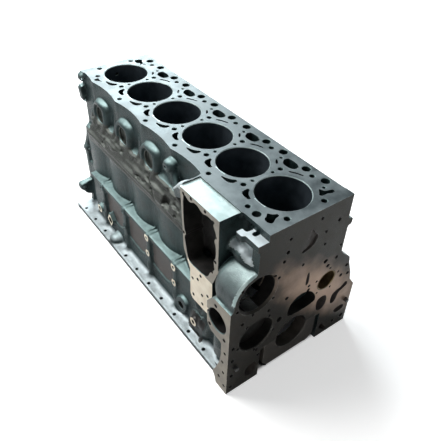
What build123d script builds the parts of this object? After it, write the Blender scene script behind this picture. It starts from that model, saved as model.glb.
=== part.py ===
from build123d import *
import math
import os

# Cylinder line and crankshaft line
cylinder_count = 6
bore_pitch = 120.0
bore_r = 53.5
bore_end_z = 113.0
barrel_wall = 7.0
end_overhang = 77.0
deck_z = 323.0
deck_plate = 13.0

# Water jacket
jacket_gap = 9.5
jacket_floor_z = 166.0
jacket_floor = 8.0
jacket_sides = 12
small_hole_sides = 6
deck_hole_sides = 8
boss_sides = 8
plug_sides = 16

# Deck outline across the engine
cooler_deck_y = 93.0
cooler_front_y = 95.5
deck_scallop = 7.0
rod_deck_y = 105.0

# Upper crankcase, from the jacket floor down to the ledge
bulge_r = 115.0
bulge_sides = 24
bulge_wall = 8.0
crease_half = 13.0
crease_y = 103.5
waist_y = 98.0
ledge_z = 66.0
ledge_thick = 9.0

# Skirt and pan rail
skirt_y = 127.0
skirt_wall = 8.0
skirt_rear_x = 72.0
rear_waist_y = 108.0
rib_width = 12.0
rib_proud = 4.0
rail_z = -88.0
rail_thick = 12.0
rail_y = 159.0
rail_hole_r = 4.5
rail_hole_inset = 10.0
rail_hole_front = 113.0
rail_hole_rear = 33.0
panel_depth = 6.0
panel_low_z = -32.0
panel_high_z = 46.0
side_pad_proud = 9.0

# Main bearings and their caps
bulkhead = 24.0
crank_bore_r = 43.0
cap_half_width = 73.5
cap_bottom_z = -72.0
cap_chamfer = 14.0
cap_register = 3.0
cap_slot_gap = 12.0
cap_bolt_y = 58.0
cap_bolt_r = 7.0
cap_bolt_clearance = 0.4
cap_bolt_thread = 30.0
cap_head_af = 20.0
cap_head = 11.0

# Camshaft and pushrods
cam_y = 82.0
cam_z = 108.0
cam_bore_r = 25.0
cam_bush_wall = 2.0
cam_bush_sides = 24
valve_shift = -6.5
rod_hole_r = 9.0
rod_spread = 24.0
rod_y = 88.5
rod_wall = 7.0
tappet_boss_drop = 24.0
chest_ridge = 16.0
rod_panel_depth = 5.0
rod_panel_low_z = 196.0
rod_panel_high_z = 292.0
rod_pads = ((-150.0, 42.0), (90.0, 42.0))

# Cylinder head bolts
head_bolt_r = 6.0
head_bolt_depth = 62.0
head_bolt_wall = 5.0
head_bolt_outer_wall = 8.5

# Deck ports, each placed from a bore centre or from a gap between bores
drain_port_y = 71.0
drain_port_length = 34.0
drain_port_width = 20.0
drain_port_floor_z = 200.0
crescent_w = 9.0
crescent_from = 42.0
crescent_to = 68.0
port_ring_r = bore_r + barrel_wall + jacket_gap / 2

# Cooler housing on the cooler side
housing_front = 78.0
housing_length = 124.0
housing_y = 143.0
housing_drop = 3.0
housing_wall = 9.0
housing_floor_z = 145.0
housing_back_y = 99.0
pad_x_inset = 18.0
pad_length = 76.0
pad_z = 48.0

# Water pump and oil pump bores at the front
pump_y = -107.0
pump_z = 183.0
pump_bore_r = 42.6
pump_bore_depth = 66.0
pump_wall = 15.0
pump_length = 85.0
pump_outlet_r = 22.0
oil_pump_y = -101.0
oil_pump_z = 63.0
oil_pump_r = 41.8
oil_pump_depth = 24.0

# Corner box at the front of the cooler side
corner_length = 74.0
corner_y = 170.0
corner_port_r = 27.0
corner_port_depth = 44.0
corner_port_inset = 39.0
corner_port_z = 115.0
corner_pocket_depth = 28.0

# End flanges
front_flange = 22.0
rear_flange = 16.0
rear_lug_length = 30.0
rear_lugs = ((-92.0, 308.0, 11.0), (-92.0, 250.0, 10.0), (-103.0, 104.0, 11.0), (-136.0, -14.0, 12.0),
             (109.0, 262.0, 12.0), (112.0, 150.0, 11.0), (136.0, -20.0, 12.0))
front_wing_y = 183.0

# Oil gallery band along the cooler side
band_top_z = 232.0
band_y = 124.0

# Core plugs and dowels
core_plug_r = 22.0
core_boss_r = 34.0
core_boss_y = 99.0
core_boss_drop = 73.0
core_boss_shift = 33.0
brow_y = 101.0
core_plug_depth = 9.0
plug_sheet = 2.0
dowel_r = 5.0
dowel_proud = 8.0
dowel_depth = 12.0
front_dowels = ((168.0, -7.0), (-150.0, -7.0))
rear_dowels = ((-92.0, 262.0), (136.0, -20.0))

# Places worked out from the driving sizes
face_x = (cylinder_count - 1) / 2 * bore_pitch + end_overhang
bore_xs = [((cylinder_count - 1) / 2 - i) * bore_pitch for i in range(cylinder_count)]
main_xs = [(cylinder_count / 2 - i) * bore_pitch for i in range(cylinder_count + 1)]
barrel_r = bore_r + barrel_wall
jacket_r = barrel_r + jacket_gap
crown_z = jacket_floor_z - jacket_floor
bay_half = (bore_pitch - bulkhead) / 2
skirt_inner_y = skirt_y - skirt_wall
slot_y = cap_half_width + cap_slot_gap
head_bolt_outer_y = jacket_r + head_bolt_outer_wall
head_bolt_inner_y = math.sqrt((jacket_r + head_bolt_wall) ** 2 - (bore_pitch / 2) ** 2)
housing_x1 = face_x - housing_front
housing_x0 = housing_x1 - housing_length
pad_x1 = housing_x1 - pad_x_inset
pad_x0 = pad_x1 - pad_length
pump_x0 = face_x - pump_length
corner_x0 = face_x - corner_length
corner_port_x = face_x - corner_port_inset
core_boss_z = deck_z - core_boss_drop
margin = 5.0


def block(x0, x1, y0, y1, z0, z1):
    """A box between two corners."""
    centre = ((x0 + x1) / 2, (y0 + y1) / 2, (z0 + z1) / 2)
    return Pos(*centre) * Box(abs(x1 - x0), abs(y1 - y0), abs(z1 - z0))


def rod_x(y, z, r, x0, x1):
    """A cylinder along the crankshaft line."""
    return extrude(Plane.YZ.offset(x0) * Pos(y, z) * Circle(r), x1 - x0)


def rod_y_axis(x, z, r, y0, y1):
    """A cylinder across the engine, from y0 out to y1 on the cooler side."""
    return extrude(Plane.XZ.offset(-y0) * Pos(x, z) * Circle(r), y0 - y1)


def rod_z(x, y, r, z0, z1):
    """An upright cylinder."""
    return extrude(Plane.XY.offset(z0) * Pos(x, y) * Circle(r), z1 - z0)


def drill_z(x, y, r, z0, z1, sides=small_hole_sides):
    """An upright small hole, cut with flat sides."""
    return extrude(Plane.XY.offset(z0) * Pos(x, y) * RegularPolygon(r, sides), z1 - z0)


def drill_x(y, z, r, x0, x1):
    """A small hole along the engine, cut with flat sides."""
    return extrude(Plane.YZ.offset(x0) * Pos(y, z) * RegularPolygon(r, small_hole_sides), x1 - x0)


def column(x, r, z0, z1):
    """An upright many-sided column round a bore, whose flats lie at radius r."""
    sketch = RegularPolygon(r, jacket_sides, major_radius=False, rotation=180 / jacket_sides)
    return extrude(Plane.XY.offset(z0) * Pos(x, 0) * sketch, z1 - z0)


def bulge(x, r, z0, z1):
    """An upright many-sided drum round a cylinder."""
    return extrude(Plane.XY.offset(z0) * Pos(x, 0) * RegularPolygon(r, bulge_sides), z1 - z0)


def slice_x(points, x0, x1):
    """An outline in y and z, carried along the engine."""
    outline = make_face(Polyline(*points, close=True))
    return extrude(Plane.YZ.offset(x0) * outline, x1 - x0)


def slice_y(points, y0, y1):
    """An outline in x and z, carried out towards the cooler side."""
    outline = make_face(Polyline(*points, close=True))
    return extrude(Plane.XZ.offset(-y0) * outline, y0 - y1)


def slice_z(points, z0, z1):
    """An outline in x and y, carried upwards."""
    outline = make_face(Polyline(*points, close=True))
    return extrude(Plane.XY.offset(z0) * outline, z1 - z0)


def deck_outline():
    """Plan of the deck: straight on the pushrod side, scalloped on the cooler side."""
    hollow_y = -(cooler_deck_y - deck_scallop)
    cusps = [x for x in bore_xs if x < housing_x0 - bore_pitch / 2]
    points = [(-face_x, hollow_y), (-face_x, rod_deck_y), (face_x, rod_deck_y), (face_x, -cooler_front_y),
              (housing_x0, -cooler_front_y), (housing_x0 - margin, hollow_y)]
    for x in cusps:
        points += [(x + bore_pitch / 4, hollow_y), (x, -cooler_deck_y), (x - bore_pitch / 4, hollow_y)]
    return make_face(Polyline(*points, close=True))


def upper_block():
    """Deck plate and water jacket walls."""
    return extrude(Plane.XY.offset(jacket_floor_z - jacket_floor) * deck_outline(),
                   deck_z - jacket_floor_z + jacket_floor)


def upper_crankcase():
    """Walls that bulge round each cylinder, below the water jacket."""
    z0 = ledge_z - ledge_thick
    z1 = jacket_floor_z
    walls = [block(-face_x, face_x, -waist_y, waist_y, z0, z1)]
    limit = block(-face_x, face_x, -bulge_r, bulge_r, z0, z1)
    walls += [bulge(x, bulge_r, z0, z1) & limit for x in bore_xs]
    walls += [block(x - crease_half, x + crease_half, -crease_y, crease_y, z0, z1) for x in main_xs[1:-1]]
    return walls


def skirt():
    """Ledge, side walls with a rib at each main bearing, and the pan rail."""
    x0 = -face_x + skirt_rear_x
    ledge_y = skirt_y + rib_proud
    walls = block(x0, face_x, -skirt_y, skirt_y, rail_z, ledge_z).cut(*skirt_panels())
    parts = [
        walls,
        block(x0, face_x, -ledge_y, ledge_y, ledge_z - ledge_thick, ledge_z),
        block(-face_x, x0 + margin, -rear_waist_y, rear_waist_y, rail_z, ledge_z),
        block(-face_x, face_x, -rail_y, rail_y, rail_z, rail_z + rail_thick),
    ]
    rib_y = ledge_y
    for x in main_xs[1:-1]:
        parts.append(block(x - rib_width / 2, x + rib_width / 2, -rib_y, rib_y, rail_z, ledge_z + rib_proud))
    return parts


def skirt_panels():
    """Shallow panels cast into the skirt between the ribs, with cut corners at their rear end."""
    cuts = []
    for x in main_xs[:-2]:
        a = x - 17
        b = x - bore_pitch + 8
        outline = [(a, panel_low_z), (a, panel_high_z), (b + 14, panel_high_z), (b, panel_high_z - 20),
                   (b, panel_low_z + 20), (b + 14, panel_low_z)]
        cuts.append(slice_y(outline, skirt_y + margin, skirt_y - panel_depth))
        if a < housing_x0:
            cuts.append(slice_y(outline, -skirt_y + panel_depth, -skirt_y - margin))
    return cuts


def skirt_fittings():
    """Pads and bosses low on the cooler side skirt, and two mounting pads on the pushrod side."""
    inner = -skirt_y + margin
    outer = -skirt_y - side_pad_proud
    pad = [(118, -66), (128, -40), (144, -14), (170, -14), (178, -34), (162, -72)]
    diamond = [(-207, -8), (-190, -32), (-203, -56), (-222, -36)]
    foot = [(-190, rail_z), (-182, -62), (-160, -57), (-146, rail_z)]
    bracket = [(188, -76), (186, -42), (204, -16), (236, -20), (248, -44), (240, -76)]
    boss = Pos(-262, -28) * RegularPolygon(13, boss_sides)
    parts = [slice_y(outline, inner, outer) for outline in (pad, diamond)]
    parts += [slice_y(outline, inner, outer - side_pad_proud) for outline in (foot, bracket)]
    parts.append(extrude(Plane.XZ.offset(-inner) * boss, inner - outer))
    for x, half in rod_pads:
        z0 = panel_low_z - 16
        z1 = panel_high_z - 12
        outline = [(x - half, z0 + 14), (x - half, z1 - 14), (x - half + 14, z1), (x + half - 14, z1),
                   (x + half, z1 - 14), (x + half, z0 + 14), (x + half - 14, z0), (x - half + 14, z0)]
        parts.append(slice_y(outline, skirt_y + side_pad_proud + 2, skirt_inner_y + 2))
    return parts


def gallery_band():
    """Oil gallery band that runs along the cooler side below the deck wall."""
    y = band_y
    points = [
        (-cooler_deck_y + 12, band_top_z),
        (-y + 20, band_top_z - 8),
        (-y + 6, band_top_z - 15),
        (-y + 6, band_top_z - 27),
        (-y, band_top_z - 36),
        (-y, band_top_z - 54),
        (-y + 12, jacket_floor_z),
        (-cooler_deck_y + 12, jacket_floor_z),
    ]
    return slice_x(points, -face_x, housing_x0 + margin)


def housing_outline():
    """Side outline of the cooler housing and the pad below it."""
    top = deck_z - housing_drop
    return [
        (housing_x0, top), (housing_x1, top), (housing_x1, housing_floor_z + 50),
        (pad_x1 + 6, housing_floor_z + 10), (pad_x1, housing_floor_z - 10), (pad_x1, pad_z),
        (pad_x0, pad_z), (pad_x0, housing_floor_z - 20), (housing_x0 + 7, housing_floor_z + 30),
    ]


def housing_cavity():
    """Opening of the cooler housing, with its sloped lower corner."""
    top = deck_z - housing_drop - housing_wall
    left = housing_x0 + housing_wall
    right = housing_x1 - housing_wall - 5
    return [
        (left, top), (right, top), (right, housing_floor_z + 45), (right - 5, housing_floor_z + 37),
        (right - 25, housing_floor_z + 13), (right - 40, housing_floor_z),
        (left + 18, housing_floor_z), (left + 6, housing_floor_z + 55),
    ]


def cooler_housing():
    """Cooler housing with its lower pad and the gusset at its rear end."""
    body = slice_y(housing_outline(), -cooler_deck_y + margin, -housing_y)
    top = deck_z - housing_drop
    gusset = [
        (housing_x0 + margin, top), (housing_x0, top), (housing_x0 - 42, top - 34),
        (housing_x0 - 26, top - 80), (housing_x0 + margin, top - 96),
    ]
    return [body, slice_y(gusset, -cooler_deck_y + margin, -housing_y + 10)]


def corner_box():
    """Machined corner box between the oil pump bore and the pan rail."""
    top = jacket_floor_z
    points = [
        (corner_x0, rail_z), (face_x, rail_z), (face_x, top), (corner_x0 + 16, top), (corner_x0, top - 24),
    ]
    return slice_y(points, -waist_y, -corner_y)


def front_flange_plate():
    """Front face outline, with the wing that carries the gear housing."""
    w = front_wing_y
    points = [
        (-cooler_front_y, deck_z), (-cooler_front_y, deck_z - 90), (-corner_y, jacket_floor_z - 6),
        (-corner_y, rail_z), (w, rail_z), (w, 38), (w - 18, 63), (w - 23, 88), (w - 36, 123),
        (w - 40, 143), (w - 65, 166), (rod_deck_y + 5, 178), (rod_deck_y + 5, 243),
        (rod_deck_y + 15, 247), (rod_deck_y + 15, 259), (rod_deck_y, 266), (rod_deck_y, deck_z),
    ]
    return slice_x(points, face_x - front_flange, face_x)


def rear_flange_plate():
    """Rear face outline, with lugs for the flywheel housing."""
    cooler = [
        (-86, deck_z), (-100, 290), (-97, 238), (-80, 226), (-78, 172), (-95, 157), (-111, 107),
        (-107, 2), (-145, -5), (-130, -42), (-114, -50), (-114, rail_z + rail_thick),
        (-rail_y, rail_z + rail_thick), (-rail_y, rail_z),
    ]
    rod_side = [
        (rail_y, rail_z), (rail_y, rail_z + rail_thick), (120, rail_z + rail_thick), (120, -50),
        (134, -42), (148, -5), (122, 2), (124, 107), (118, 157), (rod_deck_y + 4, 172),
        (rod_deck_y + 4, 240), (rod_deck_y + 14, 250), (rod_deck_y + 14, 286), (rod_deck_y, deck_z),
    ]
    return slice_x(cooler + rod_side, -face_x, -face_x + rear_flange)


def rear_bosses():
    """Bolt bosses that stand forward of the rear flange."""
    return [drill_x(y, z, r, -face_x, -face_x + rear_lug_length) for y, z, r in rear_lugs]


def pump_barrel():
    """Barrel of the water pump, running back to the cooler housing, with the ridge above it."""
    barrel = rod_x(pump_y, pump_z, pump_bore_r + pump_wall, pump_x0, face_x)
    ridge = [(-cooler_deck_y, 228), (-118, 230), (-126, 244), (-118, 258), (-106, 264), (-cooler_deck_y, 264)]
    return [barrel, slice_x(ridge, housing_x1 - margin, face_x - 10)]


def front_lug():
    """Stepped lug under the front corner of the deck."""
    top = deck_z - 15
    lug = block(face_x - 47, face_x, -cooler_front_y - 24, -cooler_front_y + margin, top - 20, top)
    notch = block(face_x - 34, face_x - 24, -cooler_front_y - 12, -cooler_front_y, top - 7, top + margin)
    step = block(face_x - 52, face_x - 38, -cooler_front_y - 30, -cooler_front_y - 13, top - 9, top + margin)
    return lug - notch - step


def core_places():
    """Core plug places on the cooler side: the three rear cylinders."""
    return [x + core_boss_shift for x in bore_xs[cylinder_count // 2:]]


def side_bosses():
    """Core plug bosses and the small boss beside the cooler housing."""
    round_boss = RegularPolygon(core_boss_r, 2 * jacket_sides)
    bosses = []
    for x in core_places():
        bosses.append(extrude(Plane.XZ.offset(jacket_r) * Pos(x, core_boss_z) * round_boss, core_boss_y - jacket_r))
    small = Pos(housing_x0 - 110, deck_z - 37) * RegularPolygon(12.5, boss_sides)
    bosses.append(extrude(Plane.XZ.offset(jacket_r) * small, core_boss_y + 8 - jacket_r))
    for x in core_places():
        z = core_boss_z
        brow = [(x - 20, z + 26), (x - 12, z + 41), (x + 22, z + 41), (x + 41, z + 20), (x + 41, z - 16),
                (x + 29, z - 16), (x + 27, z + 10), (x + 8, z + 28)]
        bosses.append(slice_y(brow, -jacket_r, -brow_y))
    leg = [(housing_x0 - 112, 284), (housing_x0 - 100, 290), (housing_x0 - 64, 228), (housing_x0 - 82, 228)]
    bosses.append(slice_y(leg, -jacket_r, -brow_y))
    return bosses


def rod_side_casting():
    """Pushrod side: cam chest ridge, upright ribs and ribs down to the skirt."""
    slope = [
        (waist_y - margin, jacket_floor_z + 12), (rod_deck_y, jacket_floor_z + 12),
        (skirt_y, ledge_z), (waist_y - margin, ledge_z),
    ]
    parts = []
    for x in main_xs[1:-1]:
        parts.append(slice_x(slope, x - rib_width / 2, x + rib_width / 2))
        parts.append(block(x - rib_width / 2, x + rib_width / 2, waist_y, rod_deck_y + margin, 178, deck_z - 18))
    parts.append(slice_x(slope, face_x - front_flange - 40, face_x - front_flange + margin))
    out = rod_deck_y + chest_ridge
    chest = [(waist_y - margin, cam_z - 22), (out - 4, cam_z - 12), (out, cam_z), (out - 4, cam_z + 12),
             (waist_y - margin, cam_z + 22)]
    parts.append(slice_x(chest, -face_x, face_x - front_flange + margin))
    lip = [(waist_y, jacket_floor_z - 8), (rod_deck_y + 6, jacket_floor_z - 3), (rod_deck_y + 6, jacket_floor_z + 7),
           (waist_y, jacket_floor_z + 12)]
    parts.append(slice_x(lip, -face_x, face_x - front_flange + margin))
    return parts


def rod_side_panels():
    """Shallow panels in the upper wall of the pushrod side, one at each cylinder."""
    half = bore_pitch / 2 - 22
    return [block(x - half, x + half, rod_deck_y - rod_panel_depth, rod_deck_y + margin, rod_panel_low_z,
                  rod_panel_high_z) for x in bore_xs]


def casting():
    """Outside of the block before any core or drill."""
    body = upper_block()
    adds = upper_crankcase() + skirt() + cooler_housing() + side_bosses() + rod_side_casting()
    adds += skirt_fittings() + rear_bosses() + pump_barrel()
    adds += [gallery_band(), corner_box(), front_flange_plate(), rear_flange_plate(), front_lug()]
    return body.fuse(*adds)


def crankcase_bay(x):
    """Space under one cylinder, open to the pan, clear of the barrel above it."""
    lower_y = skirt_inner_y
    x0 = x - bay_half
    x1 = x + bay_half
    upper = bulge(x, bulge_r - bulge_wall, ledge_z - ledge_thick - margin, crown_z)
    upper = upper & block(x0, x1, -bulge_r, bulge_r, rail_z, crown_z)
    skirt_x0 = max(x0, -face_x + skirt_rear_x + skirt_wall)
    lower = block(skirt_x0, x1, -lower_y, lower_y, rail_z - margin, ledge_z - ledge_thick)
    space = upper.fuse(lower)
    if skirt_x0 > x0:
        rear_y = rear_waist_y - skirt_wall
        space = space.fuse(block(x0, skirt_x0 + margin, -rear_y, rear_y, rail_z - margin, ledge_z - ledge_thick))
    barrel = column(x, barrel_r, bore_end_z, crown_z + margin)
    half = rod_spread + rod_hole_r + rod_wall
    tappets = block(x + valve_shift - half, x + valve_shift + half, rod_y - rod_hole_r - rod_wall, bulge_r,
                    crown_z - tappet_boss_drop, crown_z + margin)
    return space - barrel - tappets


def jacket_cores():
    """Water space round each barrel, joined between neighbours."""
    z1 = deck_z - deck_plate
    ring = [column(x, jacket_r, jacket_floor_z, z1) for x in bore_xs]
    barrels = [column(x, barrel_r, jacket_floor_z - margin, z1 + margin) for x in bore_xs]
    return ring[0].fuse(*ring[1:]) - barrels


def bores():
    """Cylinder bores, from the deck into the crankcase."""
    return [rod_z(x, 0, bore_r, bore_end_z, deck_z + margin) for x in bore_xs]


def head_bolt_places():
    """The 26 head bolts: outer rows beside each bore, inner rows between bores."""
    places = [(x + valve_shift, side * head_bolt_outer_y) for x in bore_xs for side in (-1, 1)]
    places += [(x, side * head_bolt_inner_y) for x in main_xs for side in (-1, 1)]
    return places


def head_bolt_holes():
    """Blind threaded holes for the head bolts; the four end ones are fully round."""
    z0 = deck_z - head_bolt_depth
    holes = []
    for x, y in head_bolt_places():
        if x in (main_xs[0], main_xs[-1]):
            holes.append(rod_z(x, y, head_bolt_r, z0, deck_z + margin))
        else:
            holes.append(drill_z(x, y, head_bolt_r, z0, deck_z + margin, deck_hole_sides))
    return holes


def rod_places():
    """Two pushrods to a cylinder."""
    return [(x + valve_shift + side * rod_spread, rod_y) for x in bore_xs for side in (-1, 1)]


def pushrod_holes():
    """Pushrod passages, from the deck down to the camshaft space."""
    z0 = crown_z - tappet_boss_drop - margin
    return [drill_z(x, y, rod_hole_r, z0, deck_z + margin) for x, y in rod_places()]


def ring_port(x, a0, a1, width):
    """A port in the deck that follows the jacket round one bore, between two angles."""
    def at(r, a):
        return (x + r * math.cos(math.radians(a)), r * math.sin(math.radians(a)))
    inner = port_ring_r - width / 2
    outer = port_ring_r + width / 2
    middle = (a0 + a1) / 2
    points = [at(inner, a0), at(inner, middle), at(inner, a1), at(outer, a1), at(outer, middle), at(outer, a0)]
    return slice_z(points, deck_z - deck_plate - margin, deck_z + margin)


def drain_port(x):
    """Large six-sided port beside the gap between two bores."""
    a = drain_port_length / 2
    b = drain_port_width / 2
    points = [(-a, 1), (-a * 0.55, b), (a * 0.45, b), (a, -1), (a * 0.55, -b), (-a * 0.45, -b)]
    placed = [(x + u, drain_port_y + v) for u, v in points]
    return slice_z(placed, drain_port_floor_z, deck_z + margin)


def front_ports():
    """Ports at the front end of the deck."""
    x = bore_xs[0]
    z0 = deck_z - deck_plate - margin
    z1 = deck_z + margin
    lobed = [(x + 28, -50), (x + 39, -47), (x + 45, -54), (x + 53, -62), (x + 50, -71), (x + 38, -73),
             (x + 36, -62), (x + 29, -60)]
    branched = [(x + 31, 50), (x + 45, 50), (x + 49, 58), (x + 44, 65), (x + 49, 79), (x + 44, 81),
                (x + 39, 66), (x + 31, 62)]
    return [slice_z(lobed, z0, z1), slice_z(branched, z0, z1), drill_z(x + 20, -77, 8.5, z0 - 20, z1)]


def deck_ports():
    """Coolant ports that repeat at each cylinder, with the special ones at the front."""
    cuts = front_ports()
    for i, x in enumerate(bore_xs):
        first = i == 0
        last = i == cylinder_count - 1
        if not last:
            cuts.append(ring_port(x, 180 + crescent_from, 180 + crescent_to, crescent_w))
            cuts.append(drain_port(x - bore_pitch / 2))
        if not first:
            cuts.append(ring_port(x, 360 - crescent_to, 360 - crescent_from, crescent_w))
    return cuts


def crank_line():
    """Crankshaft tunnel, and the stepped slot that the main caps stand in."""
    step = [(-slot_y, rail_z - margin), (-slot_y, 0), (-cap_half_width, 0), (-cap_half_width, cap_register),
            (cap_half_width, cap_register), (cap_half_width, 0), (slot_y, 0), (slot_y, rail_z - margin)]
    slot = slice_x(step, -face_x - margin, face_x + margin)
    tunnel = rod_x(0, 0, crank_bore_r, -face_x - margin, face_x + margin)
    holes = []
    for x0, x1 in cap_spans():
        x = (x0 + x1) / 2
        for side in (-1, 1):
            holes.append(drill_z(x, side * cap_bolt_y, cap_bolt_r, -margin, cap_register + cap_bolt_thread))
    return [slot, tunnel] + holes


def cap_spans():
    """Front and rear ends of each main cap; the end caps fill the end walls."""
    spans = [(x - bulkhead / 2, x + bulkhead / 2) for x in main_xs]
    spans[0] = (main_xs[0] - bulkhead / 2, face_x)
    spans[-1] = (-face_x, main_xs[-1] + bulkhead / 2)
    return spans


def cam_line():
    """Camshaft tunnel along the pushrod side, fully round in the front wall."""
    front = rod_x(cam_y, cam_z, cam_bore_r, face_x - bulkhead - margin, face_x + margin)
    rest = drill_x(cam_y, cam_z, cam_bore_r, -face_x - margin, face_x - bulkhead)
    return [front, rest]


def pump_bores():
    """Water pump bore with its outlet, and the oil pump bore."""
    x0 = face_x - pump_bore_depth
    return [
        rod_x(pump_y, pump_z, pump_bore_r, x0, face_x + margin),
        drill_x(pump_y - 8, pump_z, pump_outlet_r, housing_x1 - housing_wall - 8, x0 + margin),
        rod_x(oil_pump_y, oil_pump_z, oil_pump_r, face_x - oil_pump_depth, face_x + margin),
    ]


def corner_cuts():
    """Round port and pocket in the outer face of the corner box, and the recess under the deck edge."""
    port = rod_y_axis(corner_port_x, corner_port_z, corner_port_r, -corner_y + corner_port_depth, -corner_y - margin)
    x = corner_x0
    pocket = [(x - margin, 66), (x + 14, 68), (x + 52, 74), (x + 52, 30), (x + 46, -4), (x + 33, -42),
              (x + 20, -60), (x + 6, -66), (x - margin, -66)]
    recess = block(x - 2, face_x - 34, -cooler_front_y + 8, -cooler_front_y - 24, 267, 308)
    return [port, slice_y(pocket, -corner_y + corner_pocket_depth, -corner_y - margin), recess]


def front_face_cuts():
    """Arch, pockets and slots in the front face."""
    x1 = face_x + margin
    arch = make_face(Polyline((-20, 56), (57, 56), (57, 76), (40, 104), (14, 113), (-10, 102), (-22, 78), close=True))
    cuts = [extrude(Plane.YZ.offset(face_x - 24) * arch, 24 + margin)]
    cuts.append(slice_x([(64, 54), (92, 58), (97, 40), (84, 10), (64, 14)], face_x - 20, x1))
    cuts.append(slice_x([(114, 40), (126, 52), (158, 56), (158, 44), (132, 34), (124, 8), (112, 10)], face_x - 20, x1))
    cuts.append(slice_x([(136, -20), (160, -18), (170, -30), (160, -40), (138, -38)], face_x - 20, x1))
    cuts.append(slice_x([(-125, -34), (-92, -30), (-88, -50), (-100, -72), (-124, -66)], face_x - 20, x1))
    cuts.append(slice_x([(84, 118), (100, 134), (107, 126), (92, 108)], face_x - 20, x1))
    return cuts


def dowel_holes():
    """Holes for the two dowels in each end face."""
    cuts = [drill_x(y, z, dowel_r, face_x - dowel_depth, face_x + margin) for y, z in front_dowels]
    cuts += [drill_x(y, z, dowel_r, -face_x - margin, -face_x + dowel_depth) for y, z in rear_dowels]
    return cuts


def rail_holes():
    """Corner holes of the pan rail."""
    z1 = rail_z + rail_thick + margin
    y = rail_y - rail_hole_inset
    xs = (face_x - rail_hole_front, -face_x + rail_hole_rear)
    return [drill_z(x, side * y, rail_hole_r, rail_z - margin, z1) for x in xs for side in (-1, 1)]


def core_disc(x, y0, y1):
    """A many-sided disc that fits a core hole."""
    disc = RegularPolygon(core_plug_r, plug_sides)
    return extrude(Plane.XZ.offset(-y0) * Pos(x, core_boss_z) * disc, y0 - y1)


def core_plug_seats():
    """Core plug holes through their bosses into the water jacket."""
    return [core_disc(x, -barrel_r, -core_boss_y - margin) for x in core_places()]


def cylinder_block():
    """The whole casting, cored and machined."""
    body = casting()
    cavity = slice_y(housing_cavity(), -housing_back_y, -housing_y - margin)
    cuts = [crankcase_bay(x) for x in bore_xs] + [jacket_cores(), cavity]
    cuts += bores() + head_bolt_holes() + pushrod_holes() + deck_ports()
    cuts += crank_line() + cam_line() + pump_bores() + corner_cuts() + front_face_cuts()
    cuts += dowel_holes() + rail_holes() + core_plug_seats() + rod_side_panels()
    return body.cut(*cuts)


def main_bearing_cap(x0, x1):
    """One main bearing cap, seated in its register."""
    w = cap_half_width
    c = cap_chamfer
    points = [(-w, cap_register), (-w, cap_bottom_z + c), (-w + c, cap_bottom_z), (w - c, cap_bottom_z),
              (w, cap_bottom_z + c), (w, cap_register)]
    cap = slice_x(points, x0, x1) - rod_x(0, 0, crank_bore_r, x0 - margin, x1 + margin)
    for side in (-1, 1):
        r = cap_bolt_r + cap_bolt_clearance
        cap -= drill_z((x0 + x1) / 2, side * cap_bolt_y, r, cap_bottom_z - margin, cap_register + margin)
    return cap


def main_cap_bolt(x, side):
    """A hexagon bolt that holds a main cap to its bulkhead."""
    y = side * cap_bolt_y
    shank = drill_z(x, y, cap_bolt_r, cap_bottom_z - 1, cap_register + cap_bolt_thread - 4)
    hexagon = RegularPolygon(cap_head_af / 2, 6, major_radius=False)
    head = extrude(Plane.XY.offset(cap_bottom_z - cap_head) * Pos(x, y) * hexagon, cap_head)
    return shank + head


def core_plug(x):
    """A sheet plug pressed into a core hole."""
    y = -core_boss_y + core_plug_depth
    return core_disc(x, y + plug_sheet, y)


def end_dowel(x, y, z, out):
    """A straight dowel that stands out of an end face."""
    inner = x - out * dowel_depth
    outer = x + out * dowel_proud
    return drill_x(y, z, dowel_r, min(inner, outer), max(inner, outer))


def cam_bush():
    """Bearing bush in the front camshaft bore."""
    x0 = face_x - bulkhead
    outer = extrude(Plane.YZ.offset(x0) * Pos(cam_y, cam_z) * RegularPolygon(cam_bore_r, cam_bush_sides), bulkhead)
    return outer - rod_x(cam_y, cam_z, cam_bore_r - cam_bush_wall, x0 - margin, face_x + margin)


def cam_plug():
    """Plug that closes the rear end of the camshaft tunnel."""
    return drill_x(cam_y, cam_z, cam_bore_r, -face_x + plug_sheet, -face_x + 3 * plug_sheet)


def build_nodes():
    """Every separate piece, by node name."""
    nodes = {"cylinder_block": cylinder_block()}
    for i, (x0, x1) in enumerate(cap_spans(), start=1):
        x = (x0 + x1) / 2
        nodes[f"main_bearing_cap_{i}"] = main_bearing_cap(x0, x1)
        nodes[f"main_cap_bolt_{i}_cooler_side"] = main_cap_bolt(x, -1)
        nodes[f"main_cap_bolt_{i}_pushrod_side"] = main_cap_bolt(x, 1)
    for i, x in enumerate(core_places(), start=1):
        nodes[f"core_plug_{i}"] = core_plug(x)
    for i, (y, z) in enumerate(front_dowels, start=1):
        nodes[f"front_dowel_{i}"] = end_dowel(face_x, y, z, 1)
    for i, (y, z) in enumerate(rear_dowels, start=1):
        nodes[f"rear_dowel_{i}"] = end_dowel(-face_x, y, z, -1)
    nodes["camshaft_bush"] = cam_bush()
    nodes["camshaft_rear_plug"] = cam_plug()
    return nodes


os.makedirs("parts", exist_ok=True)
for name, shape in build_nodes().items():
    export_step(shape, f"parts/{name}.step")
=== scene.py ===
"""An inline engine cylinder block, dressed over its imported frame.

The casting is worked out as a field of signed distances, as a pattern maker builds up a pattern
and its cores. Its skin is then machined with crisp cutters, as the real block is.
Sizes are in millimetres and become metres where a mesh is made.
"""

import logging
import math
from dataclasses import dataclass, field
from enum import Enum
from typing import Callable, Sequence

import bmesh
import bpy
import numpy as np
import openvdb
from mathutils import Matrix, Vector


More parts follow.
